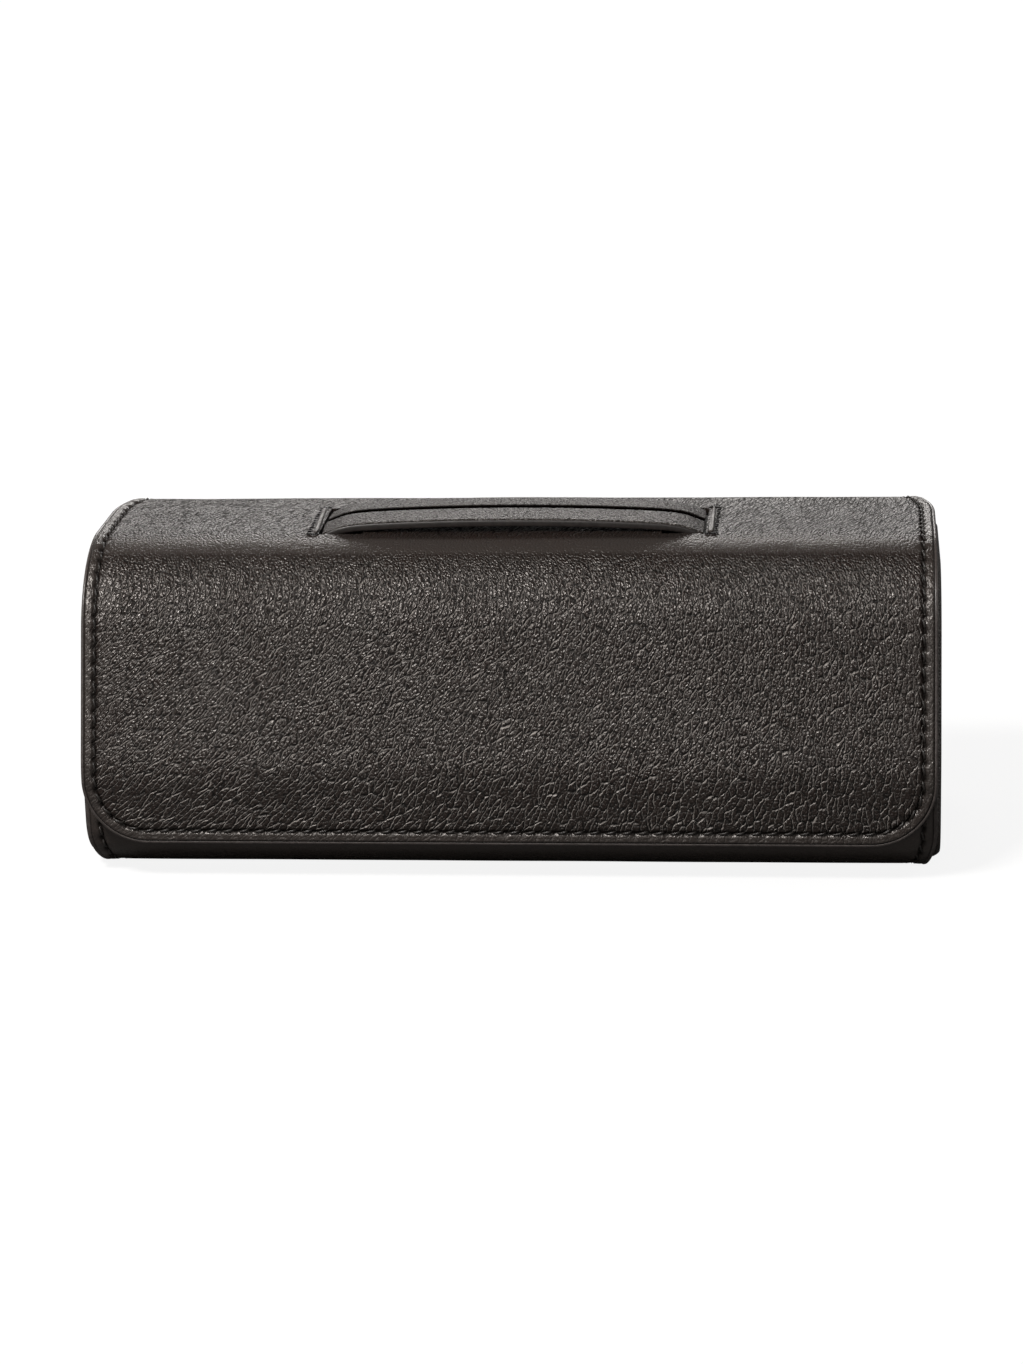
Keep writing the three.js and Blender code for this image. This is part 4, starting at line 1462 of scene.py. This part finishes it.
@dataclass
class Lining:
    """Suede on the inside of the wrap: one sheet in the body, one under the lid and flap."""

    section: Section
    finishes: Finishes
    wrap: Wrap
    thickness: float = 0.7 * MM
    inside_half: float = 106.15 * MM
    notch_half: float = 101.7 * MM
    lid_trim: float = 4.0 * MM
    edge_trim: float = 0.3 * MM
    step: float = 2.0 * MM
    across: int = 90

    def build(self) -> None:
        """Builds both sheets."""
        body = self.body_sheet()
        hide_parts("body_lining")
        self.wrap.bend_piece(body, self.wrap.body_panel)
        lid = self.lid_sheet()
        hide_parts("lid_lining", "flap_lining")
        self.wrap.bend_piece(lid, self.wrap.lid_panel)

    def nap(self, x: Array, v: Array) -> Array:
        """Lift of the suede's face: slack waves of a glued sheet."""
        waves = 0.10 * MM * swell(x, v, 21, 45 * MM)
        return waves - (self.section.panel - 0.12 * MM)

    def sheet(
        self, panel: Panel, rows: Array, half: Callable[[Array], Array], name: str
    ) -> bpy.types.Object:
        """A sheet of suede on the inside of a panel.

        Args:
            panel: the panel that it lines.
            rows: distances from the panel's free end.
            half: half the width at such a distance.
            name: name of the piece.

        Returns:
            The sheet.
        """
        layer = Layer(panel, np.linspace(-1, 1, self.across), rows)
        back = -(self.section.panel - self.thickness)
        surface, _, _ = layer.surface(self.nap, back, half, inner=True)
        return surface.mesh(name, self.finishes.suede)

    def body_sheet(self) -> bpy.types.Object:
        """Body lining, narrower between the end panels and notched beside their steps."""
        panel = replace(self.wrap.body_panel, narrowing=None)
        hinge = self.wrap.hinge
        lid_half = self.section.wrap_half - self.lid_trim
        stops = np.array([-1, hinge - 3.4 * MM, hinge - 3.0 * MM, hinge, hinge + 0.6 * MM, 1])
        halves = np.repeat([self.inside_half, self.notch_half, lid_half], 2)
        even = graded(panel.outline.length, 6 * MM, 1 * MM, self.step)
        rows = np.unique(np.concatenate([even, stops[1:5]]))
        return self.sheet(panel, rows, lambda v: np.interp(v, stops, halves), "body_lining_sheet")

    def lid_sheet(self) -> bpy.types.Object:
        """Lid and flap lining, cut to the same outline as the leather."""
        panel = self.wrap.lid_panel
        outline = panel.outline
        trim = self.edge_trim
        cut = Outline(outline.half - trim, outline.length, outline.corner - trim)
        bend = trim + cut.corner * (1 - np.cos(np.linspace(0, QUARTER, 18)))
        rest = np.arange(outline.corner + self.step, outline.length, self.step)
        rows = np.concatenate([bend, rest, [outline.length]])
        return self.sheet(panel, rows, lambda v: cut.half_at(v - trim), "lid_lining_sheet")


@dataclass
class Handle:
    """Strap handle: two turned bands on a core, painted edges, and a welted slot at each end."""

    section: Section
    finishes: Finishes
    slot: Slot
    span: float = 91.5 * MM
    width: float = 24 * MM
    thickness: float = 2.0 * MM
    crown: float = 0.5 * MM
    rise: float = 2.45 * MM
    arch_share: float = 0.6
    end_power: float = 16.0
    dip: float = 1.25 * MM
    groove: float = 2.6 * MM
    still_share: float = 0.25
    edge_half: float = 0.50 * MM
    core_half: float = 7.4 * MM
    core_drop: float = 0.40 * MM
    tail_drop: float = 1.76 * MM
    welt_half: float = 0.68 * MM
    welt_rise: float = 0.62 * MM
    welt_place: float = 0.95 * MM
    grain_at: float = 900.0

    @property
    def end_slope(self) -> float:
        """How steeply the strap goes through the lid."""
        bend = 2 * self.arch_share + self.end_power * (1 - self.arch_share)
        return self.rise * bend / (self.span / 2)

    def line(self, x: Array) -> tuple[Array, Array]:
        """Height and slope of the strap's middle line.

        With u = x over half the span, the height above the lid is the rise times
        share (1 - u^2) + (1 - share)(1 - u^power), and past the slots the line runs on straight.

        Args:
            x: places along the strap.

        Returns:
            Heights above the table, and slopes.
        """
        half = self.span / 2
        u = np.clip(x / half, -1, 1)
        arch = self.arch_share * (1 - u**2)
        ends = (1 - self.arch_share) * (1 - np.abs(u) ** self.end_power)
        past = np.maximum(np.abs(x) - half, 0.0)
        height = self.section.height + self.rise * (arch + ends) - past * self.end_slope
        steep = 2 * self.arch_share * np.abs(u)
        steep = steep + (1 - self.arch_share) * self.end_power * np.abs(u) ** (self.end_power - 1)
        return height, -np.sign(x) * self.rise / half * steep

    def path(self, x: Array) -> tuple[Array, Array]:
        """Points of the strap's middle line, and unit vectors out of the strap's top."""
        height, slope = self.line(x)
        centres = np.stack([x, np.full_like(x, self.slot.centre), height], axis=-1)
        up = np.stack([-slope, np.zeros_like(x), np.ones_like(x)], axis=-1)
        return centres, up / np.linalg.norm(up, axis=1)[:, None]

    def build(self) -> None:
        """Builds both halves of the strap with their edges, the welts and their stitches."""
        half = self.span / 2
        reach = half + self.dip / self.end_slope
        bent = 0.8 * half
        stops = np.concatenate([np.linspace(0, bent, 60), np.linspace(bent, reach, 40)[1:]])
        section = self.cover_section()
        parted = (section[:, 1] > 0) & (np.abs(section[:, 0]) < 0.56 * self.groove)
        for side in Side:
            centres, up = self.path(side.value * stops)
            across = np.broadcast_to(ALONG_Y, centres.shape)
            cover = sweep(centres, across, up, section)
            shape = cover.grain.shape[:2]
            cover.grain = cover.grain[..., ::-1] * np.array([1.0, side.value]) + self.grain_at
            # painted shade: the groove between the bands is marked as a crease and drawn black
            cover.marks["crease"] = np.broadcast_to(1.0 * parted, shape)
            cover.marks["calm"] = np.full(shape, 0.15)
            cover.marks["lines"] = np.full(shape, 0.25)
            strap = cover.mesh(f"strap_cover_{side.label}", self.finishes.skin)
            pieces = [strap]
            for edge in (-1, 1):
                label = "front" if edge < 0 else "back"
                middle = centres + edge * (self.width / 2 - self.edge_half) * across - 0.10 * MM * up
                bead = superellipse(self.edge_half, self.thickness / 2 - 0.12 * MM, 3.4, 20)
                piece = sweep(middle, across, up, bead)
                pieces.append(piece.mesh(f"strap_{label}_edge_{side.label}", self.finishes.strap_edge))
            for piece in pieces:
                start = (side.value * half, self.slot.centre, self.section.height)
                end = (side.value * self.still_share * half, self.slot.centre, self.section.height)
                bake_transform(piece)
            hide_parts("handle_cover")
            self.build_core(side)
            self.build_welt(side)

    def build_core(self, side: Side) -> None:
        """The woven core of half the strap: one strip in the cover, and one from the slot to the tab.

        Args:
            side: which half of the strap.
        """
        half = self.span / 2
        middle, up = self.path(side.value * np.linspace(0.3 * MM, half + 2.6 * MM, 90))
        inside = middle - self.core_drop * up
        tab_low, tab_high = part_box("right_anchor_tab")
        first = self.slot.outer - 0.20 * MM
        run = side.value * np.linspace(first, tab_high.x, 40)
        level = self.section.height - self.tail_drop
        under = np.stack([run, np.full_like(run, self.slot.centre), np.full_like(run, level)], axis=-1)
        flat = np.broadcast_to(ALONG_Z, under.shape)
        still = self.still_share * half
        anchor = f"{side.label}_anchor"
        ways = (
            ("strap_core", inside, up, 0.34 * MM, Body.HANDLE.value, half, still),
            ("core_end", under, flat, 0.26 * MM, anchor, first, tab_low.x),
        )
        for name, centres, rising, thin, body, start, end in ways:
            across = np.broadcast_to(ALONG_Y, centres.shape)
            strip = sweep(centres, across, rising, superellipse(self.core_half, thin, 6.0, 24))
            piece = strip.mesh(f"{name}_{side.label}", self.finishes.tape)
            points = [(side.value * x, self.slot.centre, self.section.height) for x in (start, end)]
            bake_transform(piece)
            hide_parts("handle_core")

    def cover_section(self) -> Array:
        """Closed section of the cover: two crowned bands beside a groove.

        With u the share of the half width, the top is the crown times (1 - u^2) above the edges,
        less a quick fall past u = 0.96 and a steep-sided trough where the groove parts the bands;
        the underside is flat, and rounded at its edges.

        Returns:
            Points (across, up), counter-clockwise from the back edge.
        """
        half = self.width / 2 - 0.35 * MM
        steps = [np.linspace(1, 0.95, 8), np.linspace(0.94, 0.12, 24), np.linspace(0.11, 0.0, 16)]
        share = np.concatenate(steps)
        share = np.concatenate([share, -share[::-1][1:]])
        across = half * share
        past = np.clip((np.abs(share) - 0.96) / 0.04, 0.0, 1.0)
        top = self.thickness / 2 + self.crown * (1 - share**2) - 0.55 * MM * past**2
        part = np.exp(-((across / (0.5 * self.groove)) ** 8))
        top = top - 1.3 * MM * part
        under = -self.thickness / 2 + 0.05 * MM + 0.45 * MM * past**2
        return np.concatenate([np.stack([across, top], axis=-1), np.stack([-across, under], axis=-1)])

    def build_welt(self, side: Side) -> None:
        """The rib of leather beside a slot, and the zigzag stitches that hold it.

        Args:
            side: which end of the strap.
        """
        slot = self.slot
        share = np.linspace(-1, 1, 48)
        y = slot.centre + share * slot.half_length * 0.98
        wide = self.welt_half * np.sqrt(np.clip(1 - np.abs(share) ** 9, 0.02, 1))
        x = np.full_like(share, side.value * (slot.outer + self.welt_place))
        if side is Side.RIGHT:
            wide = wide * (1.0 - 0.40 * share)
        else:
            x = x - 0.55 * MM * share
        centres = np.stack([x, y, np.full_like(y, self.section.height + 0.05 * MM)], axis=-1)
        across = np.broadcast_to(ALONG_X, centres.shape)
        up = np.broadcast_to(ALONG_Z, centres.shape)
        unit = superellipse(1.0, self.welt_rise, 3.2, 18)
        section = np.broadcast_to(unit, (len(y), *unit.shape)).copy()
        section[..., 0] *= wide[:, None]
        section[..., 1] *= (wide / wide.max())[:, None] ** 0.5
        rib = sweep(centres, across, up, section)
        rib.marks["crease"] = np.zeros(rib.points.shape[:2])
        rib.marks["calm"] = np.full(rib.points.shape[:2], 0.6)
        welt = rib.mesh(f"{side.label}_welt", self.finishes.skin)
        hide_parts(f"{side.label}_slot_welt")
        stitches = self.welt_stitches(side)
        for piece in (welt, stitches):
            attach(piece, Body.LID.value)

    def welt_stitches(self, side: Side) -> bpy.types.Object:
        """A zigzag along the welt's outer side, with a short row across each end.

        Args:
            side: which end of the strap.

        Returns:
            The stitches as one piece.
        """
        slot = self.slot
        count = 13
        y = slot.centre + np.linspace(-1, 1, count) * (slot.half_length + 0.3 * MM)
        x = np.full(count, slot.outer + 2.30 * MM)
        turn = np.where(np.arange(count) % 2 == 0, 0.75, -0.75)
        ends_x = slot.outer + np.array([0.2, 1.5, 0.2, 1.5]) * MM
        ends_y = slot.centre + np.array([-1, -1, 1, 1]) * (slot.half_length + 0.55 * MM)
        ends_turn = QUARTER + np.array([0.3, -0.3, 0.3, -0.3])
        x = np.concatenate([x, ends_x]) * side.value
        y = np.concatenate([y, ends_y])
        turn = np.concatenate([turn, ends_turn])
        points = np.stack([x, y, np.full_like(x, self.section.height - 0.02 * MM)], axis=-1)
        along = np.broadcast_to(ALONG_Y, points.shape)
        outward = np.broadcast_to(ALONG_Z, points.shape)
        thread = Thread(length=1.7 * MM, radius=0.20 * MM, rise=0.24 * MM, sink=0.08 * MM)
        surface = thread.stitches(points, along, outward, turn)
        return surface.mesh(f"{side.label}_welt_stitches", self.finishes.black_thread)


@dataclass
class Ends:
    """End panels: a pan of leather with a rounded rim, and its suede inside."""

    section: Section
    finishes: Finishes
    flange: float = 8 * MM
    rim: float = 2.4 * MM
    wrap_gap: float = 1.45 * MM
    step_drop: float = 1.2 * MM
    spacing: float = 1.1 * MM
    face_inset: float = 0.15 * MM
    fill: float = 0.30 * MM
    suede_from: float = 106.3 * MM
    suede_to: float = 107.2 * MM
    grain_at: float = 1300.0

    def outline(self, inset: float) -> Array:
        """The end panel's closed outline in (y, z), moved inwards by an inset.

        It steps in under the hinge, follows the lid from beneath, the front, the base and the back.

        Args:
            inset: distance from the full outline.

        Returns:
            Points in the order of the lid's profile, the same number for every inset.
        """
        section = self.section
        lid = section.lid_profile()
        wrap = section.wrap_profile()
        under_lid = section.front_inset + self.wrap_gap + inset
        in_wrap = self.wrap_gap + inset
        step_height = section.hinge_height - self.step_drop - inset
        over = self.spaced(lid.start_of(1), lid.start_of(6))
        below = self.spaced(wrap.start_of(3), wrap.start_of(6))
        half = section.depth / 2
        rise = np.linspace(section.base_bend, step_height, 48)[1:]
        back = np.stack([np.full_like(rise, half - in_wrap), rise], axis=-1)
        ledge_y = np.linspace(half - in_wrap, half - under_lid, 5)[1:]
        ledge = np.stack([ledge_y, np.full_like(ledge_y, step_height)], axis=-1)
        up = np.linspace(step_height, section.height - section.back_bend, 6)[1:-1]
        riser = np.stack([np.full_like(up, half - under_lid), up], axis=-1)
        return np.concatenate(
            [riser, lid.inset(over, under_lid), wrap.inset(below, in_wrap)[1:], back, ledge]
        )

    def spaced(self, start: float, end: float) -> Array:
        """Even distances from start to end."""
        return np.linspace(start, end, round((end - start) / self.spacing) + 1)

    def build(self) -> None:
        """Builds both end panels and their linings."""
        for side in Side:
            pan = self.pan(side)
            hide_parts(f"{side.label}_end_panel")
            lining = self.lining(side)
            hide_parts(f"{side.label}_end_lining")
            for piece in (pan, lining):
                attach(piece, Body.CASE.value)

    def rings(self, steps: Sequence[tuple[float, float]], side: Side) -> Array:
        """Outlines at (inset, x) steps, on one side of the case."""
        made = []
        for inset, x in steps:
            outline = self.outline(inset)
            turned = max(1 - inset / self.rim, 0.0)
            drawn = turned**2 * self.section.drawn_in(outline[:, 0], outline[:, 1])
            made.append(np.column_stack([side.value * (x - drawn), outline]))
        return np.stack(made)

    def shrunk(self, ring: Array, shares: Array, x: Array) -> Array:
        """Rings drawn in towards a ring's middle: middle + share (point - middle), at each x."""
        middle = ring.mean(axis=0)
        made = middle + shares[:, None, None] * (ring - middle)
        made[..., 0] = x[:, None]
        return made

    def pan(self, side: Side) -> bpy.types.Object:
        """The leather pan: a flange, a quarter-round rim, and a softly filled face.

        Args:
            side: which end of the case.

        Returns:
            The closed piece.
        """
        face = self.section.width / 2
        edge = face - self.face_inset
        rim = [
            (self.rim * (1 - math.cos(angle)), edge - self.rim * (1 - math.sin(angle)))
            for angle in np.linspace(0, QUARTER, 9)
        ]
        leather = self.section.leather
        inner = [(leather, face - leather), (leather, face - self.flange)]
        outer = self.rings([(0.0, face - self.flange), *rim], side)
        shares = np.linspace(0.985, 0.04, 26)
        full = edge + self.fill * (1 - shares**4)
        cover = self.shrunk(outer[-1], shares, side.value * full)
        inside = self.rings(inner, side)
        deep = np.linspace(0.05, 0.985, 6)
        bottom = self.shrunk(inside[0], deep, np.full_like(deep, side.value * (face - leather)))
        points = np.concatenate([bottom, inside, outer, cover])
        surface = closed_rings(points, flip=side is Side.LEFT)
        flat = self.unrolled(points, len(bottom) + len(inside), len(outer))
        surface.grain = flat / MM + self.grain_at
        surface.marks["crease"] = np.zeros(points.shape[:2])
        surface.marks["calm"] = np.full(points.shape[:2], 0.25)
        return surface.mesh(f"{side.label}_end_pan", self.finishes.skin)

    def unrolled(self, points: Array, first: int, rings: int) -> Array:
        """Grain places of a pan: its face as seen from the side, and its rim laid out flat around it.

        A rim point goes to the face's edge plus the outward direction times the way over the leather.

        Args:
            points: rings of the pan.
            first: which ring is the flange's outer edge.
            rings: how many rings lie from there to the face's edge.

        Returns:
            Places on the flat leather.
        """
        outer = points[first : first + rings]
        steps = np.linalg.norm(np.diff(outer, axis=0), axis=-1)
        way = np.concatenate([np.cumsum(steps[::-1], axis=0)[::-1], np.zeros_like(steps[:1])])
        outward = (outer[0, :, 1:] - outer[-1, :, 1:]) / self.rim
        flat = points[..., 1:].copy()
        flat[first : first + rings] = outer[-1, :, 1:] + way[..., None] * outward
        flat[first - 1] = flat[first] + self.section.leather * outward
        return flat

    def lining(self, side: Side) -> bpy.types.Object:
        """The suede inside an end panel, a little padded."""
        return cushion(
            self.outline(1.5 * MM),
            side.value * self.suede_from,
            side.value * self.suede_to,
            rounding=0.35 * MM,
            crown=0.18 * MM,
            name=f"{side.label}_end_suede",
            material=self.finishes.suede,
        )


def cushion(
    outline: Array,
    first: float,
    last: float,
    rounding: float,
    crown: float,
    name: str,
    material: bpy.types.Material,
) -> bpy.types.Object:
    """A flat pad of an outline in (y, z) between two places along X, with round edges and full faces.

    Rings of the outline run from the middle of one face over the edge to the middle of the other.
    With a the angle round the edge, a ring is drawn in by rounding (1 - cos a); towards a face's
    middle its share of the outline falls to nothing and the face rises by the crown.

    Args:
        outline: points of the outline.
        first: x of one face.
        last: x of the other face.
        rounding: radius of the edges.
        crown: how far the middle of a face stands out.
        name: name of the piece.
        material: its finish.

    Returns:
        The pad.
    """
    middle = outline.mean(axis=0)
    reach = np.linalg.norm(outline - middle, axis=1)
    low, high = min(first, last), max(first, last)
    rounding = min(rounding, (high - low) / 2)
    inwards = np.linspace(0.03, 0.97, 16)
    angle = np.linspace(-QUARTER, QUARTER, 11)
    face = np.full_like(inwards, rounding)
    drawn = np.concatenate([face, rounding * (1 - np.cos(angle)), face])
    share = np.concatenate([inwards, np.ones_like(angle), inwards[::-1]])
    rise = crown * (1 - inwards**3)
    near = low + rounding * (1 + np.sin(angle))
    far = high - rounding * (1 - np.sin(angle))
    x = np.concatenate([low - rise, np.where(angle < 0, near, far), high + rise[::-1]])
    scale = share[:, None] * (1 - drawn[:, None] / reach[None, :])
    yz = middle + scale[..., None] * (outline - middle)
    points = np.concatenate([np.broadcast_to(x[:, None, None], (*yz.shape[:2], 1)), yz], axis=-1)
    return closed_rings(points, flip=turning(outline) <= 0).mesh(name, material)


@dataclass
class Interior:
    """Suede dividers and base cushions that make three wells."""

    section: Section
    finishes: Finishes
    gap: float = 3.9 * MM
    divider_corner: float = 6 * MM

    def build(self) -> None:
        """Builds two dividers and three cushions."""
        for number in (1, 2):
            divider = self.divider(number)
            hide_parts(f"divider_{number}")
            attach(divider, Body.CASE.value)
        for number in (1, 2, 3):
            pad = self.base_pad(number)
            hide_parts(f"base_pad_{number}")
            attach(pad, Body.CASE.value)

    def divider(self, number: int) -> bpy.types.Object:
        """One divider, cut to the inside of the body.

        Args:
            number: which divider, from the left.

        Returns:
            The pad.
        """
        low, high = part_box(f"divider_{number}")
        wrap = self.section.wrap_profile()
        walls = np.linspace(0.0, wrap.start_of(6) + high.z - self.section.base_bend, 190)
        line = wrap.inset(walls, self.gap)
        line = line[line[:, 1] < high.z - self.divider_corner]
        front, back = line[0], line[-1]
        angle = np.linspace(0, QUARTER, 10)
        radius = self.divider_corner
        inwards = radius * (1 - np.cos(angle))
        height = high.z - radius * (1 - np.sin(angle))
        rear = np.stack([back[0] - inwards, height], axis=-1)
        lean = (radius * math.tan(self.section.lean)) * np.sin(angle)
        fore = np.stack([front[0] + lean + inwards, height], axis=-1)[::-1]
        outline = np.concatenate([line, rear, fore])
        return cushion(
            outline,
            low.x,
            high.x,
            rounding=1.5 * MM,
            crown=0.12 * MM,
            name=f"divider_{number}_pad",
            material=self.finishes.suede,
        )

    def base_pad(self, number: int) -> bpy.types.Object:
        """One cushion on the floor of a well.

        In plan its rings are superellipses that are drawn in between the corners; over them the
        height runs up a round side and then over a low crown.

        Args:
            number: which cushion, from the left.

        Returns:
            The cushion.
        """
        low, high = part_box(f"base_pad_{number}")
        centre = (np.array(low) + np.array(high)) / 2
        half = (np.array(high) - np.array(low)) / 2
        angle = np.linspace(0, 2 * math.pi, 160, endpoint=False)
        power = 9.0
        square = (np.abs(np.cos(angle)) ** power + np.abs(np.sin(angle)) ** power) ** (-1 / power)
        draw = 1 - 0.018 * np.cos(2 * angle) ** 2
        plan = np.stack([square * np.cos(angle), square * np.sin(angle)], axis=-1) * draw[:, None]
        side = np.linspace(-QUARTER, 0.35 * math.pi, 10)
        bottom = np.linspace(0.05, 0.9, 5)
        crown = np.linspace(0.93, 0.03, 24)
        shares = np.concatenate([bottom, 0.94 + 0.06 * np.cos(side), crown])
        tall = high.z - low.z
        edge = 0.36 * tall * (1 + np.sin(side))
        top = edge[-1] + (tall - edge[-1]) * np.sqrt(1 - crown**2 / 0.9)
        height = np.concatenate([np.zeros_like(bottom), edge, np.maximum(top, edge[-1])])
        xy = shares[:, None, None] * plan * half[:2] + centre[:2]
        z = np.broadcast_to((low.z + height)[:, None, None], (*xy.shape[:2], 1))
        surface = closed_rings(np.concatenate([xy, z], axis=-1))
        return surface.mesh(f"base_pad_{number}_cushion", self.finishes.suede)


@dataclass
class CarriedParts:
    """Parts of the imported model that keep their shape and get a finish."""

    finishes: Finishes

    def dress(self) -> None:
        """Gives the boards, magnets and tabs their materials."""
        boards = [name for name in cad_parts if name.endswith("_board")]
        metal = [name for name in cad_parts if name.endswith(("_magnet", "_tab"))]
        for names, material in ((boards, self.finishes.board), (metal, self.finishes.metal)):
            for name in names:
                self.assign(name, material)

    def assign(self, name: str, material: bpy.types.Material) -> None:
        """Puts a material in every slot of a node."""
        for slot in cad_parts[name].material_slots:
            slot.material = material
        log.info("%s: %s", name, material.name)


@dataclass(frozen=True)
class Studio:
    """White floor and surroundings, soft lamps, and the camera of the photograph."""

    azimuth: float = math.radians(5.53)
    elevation: float = math.radians(17.0)
    roll: float = math.radians(-1.52)
    distance: float = 0.95
    target: tuple[float, float, float] = (0.0, -8 * MM, 40 * MM)
    aim: tuple[float, float] = (-0.88 * MM, 3.2 * MM)
    lens: float = 96.3
    sensor: float = 36.0
    lamp_colour: Colour = (1.0, 0.975, 0.95)
    lamp_target: tuple[float, float, float] = (0.0, 0.0, 0.04)
    floor_half: float = 4.0
    floor_drop: float = 0.15 * MM
    floor_shade: Colour = (0.13, 0.13, 0.13)
    floor_tone: Colour = (0.80, 0.80, 0.80)
    glow_near: Colour = (0.86, 0.86, 0.86)
    glow_far: Colour = (1.0, 1.0, 1.0)
    glow_power: float = 1.27
    glow_share: float = 0.80
    sky_power: float = 0.06
    wall_power: float = 0.15

    def build(self) -> None:
        """Sets up the camera, the lamps, the floor and the world."""
        self.camera()
        self.lamp("key_softbox", (-0.40, -0.52, 0.90), (0.26, 0.18), 11.0)
        self.lamp("front_card", (-0.10, -1.05, 0.40), (0.60, 0.30), 1.55)
        self.lamp("back_strip", (-0.06, 0.84, 0.44), (0.50, 0.12), 2.1)
        self.lamp("rim_softbox", (0.75, 0.10, 0.35), (0.4, 0.5), 1.0)
        self.lamp("back_fill", (-0.72, 0.62, 0.30), (0.4, 0.4), 1.2)
        self.floor()
        self.world()
        bpy.context.scene.view_settings.view_transform = "Standard"

    def camera(self) -> None:
        """Places the camera by its angles about the target, moved sideways for the framing."""
        flat = math.cos(self.elevation)
        forward = np.array(
            [-math.sin(self.azimuth) * flat, math.cos(self.azimuth) * flat, -math.sin(self.elevation)]
        )
        right = np.array([math.cos(self.azimuth), math.sin(self.azimuth), 0.0])
        above = np.cross(right, forward)
        turn, hold = math.sin(self.roll), math.cos(self.roll)
        across = hold * right + turn * above
        upward = hold * above - turn * right
        place = np.array(self.target) + self.aim[0] * across + self.aim[1] * upward
        place = place - self.distance * forward
        data = bpy.data.cameras.new("camera")
        data.lens = self.lens
        data.sensor_width = self.sensor
        data.clip_start = 0.01
        bpy.context.scene.camera = self.put("camera", data, place, (across, upward, -forward))

    def put(
        self, name: str, data: bpy.types.ID, place: Sequence[float], axes: Sequence[Array]
    ) -> bpy.types.Object:
        """Links a new camera or lamp at a place.

        Args:
            name: name of the object.
            data: the camera or lamp.
            place: where it stands.
            axes: unit vectors of its own three axes.

        Returns:
            The object.
        """
        made = bpy.data.objects.new(name, data)
        turned = np.column_stack(axes)
        made.matrix_world = Matrix.Translation(place) @ Matrix(turned.tolist()).to_4x4()
        bpy.context.scene.collection.objects.link(made)
        return made

    def lamp(
        self, name: str, place: tuple[float, float, float], size: tuple[float, float], power: float
    ) -> None:
        """A soft rectangular lamp that faces the case.

        Args:
            name: the lamp's name.
            place: where it hangs.
            size: width and height.
            power: in watts.
        """
        data = bpy.data.lights.new(name, "AREA")
        data.shape = "RECTANGLE"
        data.size, data.size_y = size
        data.energy = power
        data.color = self.lamp_colour
        back = np.array(place) - np.array(self.lamp_target)
        back = back / np.linalg.norm(back)
        across = np.cross(ALONG_Z, back)
        across = across / np.linalg.norm(across)
        self.put(name, data, place, (across, np.cross(back, across), back))

    def white_share(self, shader: Shader) -> Signal:
        """1 for rays from the camera, also through glass, and 0 for all others."""
        seen = shader.node("ShaderNodeLightPath", {}, output="Is Camera Ray")
        through = shader.node("ShaderNodeLightPath", {}, output="Is Transmission Ray")
        return seen + through

    def floor(self) -> None:
        """A pale floor that looks white and keeps a faint shadow."""
        half, level = self.floor_half, -self.floor_drop
        corners = ((-half, -half), (half, -half), (half, half), (-half, half))
        points = np.array([(*corner, level) for corner in corners])
        shader = Shader.named("studio_floor")
        seen = self.white_share(shader)
        tone = shader.blend(seen, self.floor_shade, self.floor_tone)
        plain = shader.node("ShaderNodeBsdfDiffuse", {}, {"Color": tone})
        place = shader.place()
        away = shader.node("ShaderNodeVectorMath", {"operation": "LENGTH"}, {0: place}, output="Value")
        glow = shader.blend(shader.ease(away, 0.25, 0.80), self.glow_near, self.glow_far)
        white = shader.node("ShaderNodeEmission", {}, {"Color": glow, "Strength": self.glow_power})
        mixed = shader.node("ShaderNodeMixShader", {}, {0: self.glow_share * seen, 1: plain, 2: white})
        floor = Surface(points, np.array([[0, 1, 2, 3]])).mesh("studio_floor", shader.end(mixed))

    def world(self) -> None:
        """White surroundings for the camera, and a low pale wall behind for what they light."""
        world = bpy.data.worlds.new("studio")
        bpy.context.scene.world = world
        shader = Shader(world)
        way = shader.node("ShaderNodeTexCoord", {}, output="Generated")
        backward = shader.node("ShaderNodeSeparateXYZ", {}, {0: way}, output="Y")
        upward = shader.node("ShaderNodeSeparateXYZ", {}, {0: way}, output="Z")
        wall = shader.ease(backward, 0.10, 0.75) * (1.0 - shader.ease(upward, 0.28, 0.52))
        seen = self.white_share(shader)
        strength = seen + (1.0 - seen) * (self.sky_power + self.wall_power * wall)
        white = {"Color": (1.0, 1.0, 1.0, 1.0), "Strength": strength}
        sky = shader.node("ShaderNodeBackground", {}, white)
        shader.node("ShaderNodeOutputWorld", {}, {"Surface": sky})


def main() -> None:
    """Builds the studio and the sub-assemblies in order."""
    logging.basicConfig(level=logging.INFO, format="%(name)s: %(message)s")
    Studio().build()
    section = Section.from_frame()
    finishes = Finishes.make()
    slot = Slot.from_frame()
    wrap = Wrap(section, finishes, slot)
    wrap.build()
    Lining(section, finishes, wrap).build()
    Handle(section, finishes, slot).build()
    Ends(section, finishes).build()
    Interior(section, finishes).build()
    CarriedParts(finishes).dress()


if __name__ == "__main__":
    main()
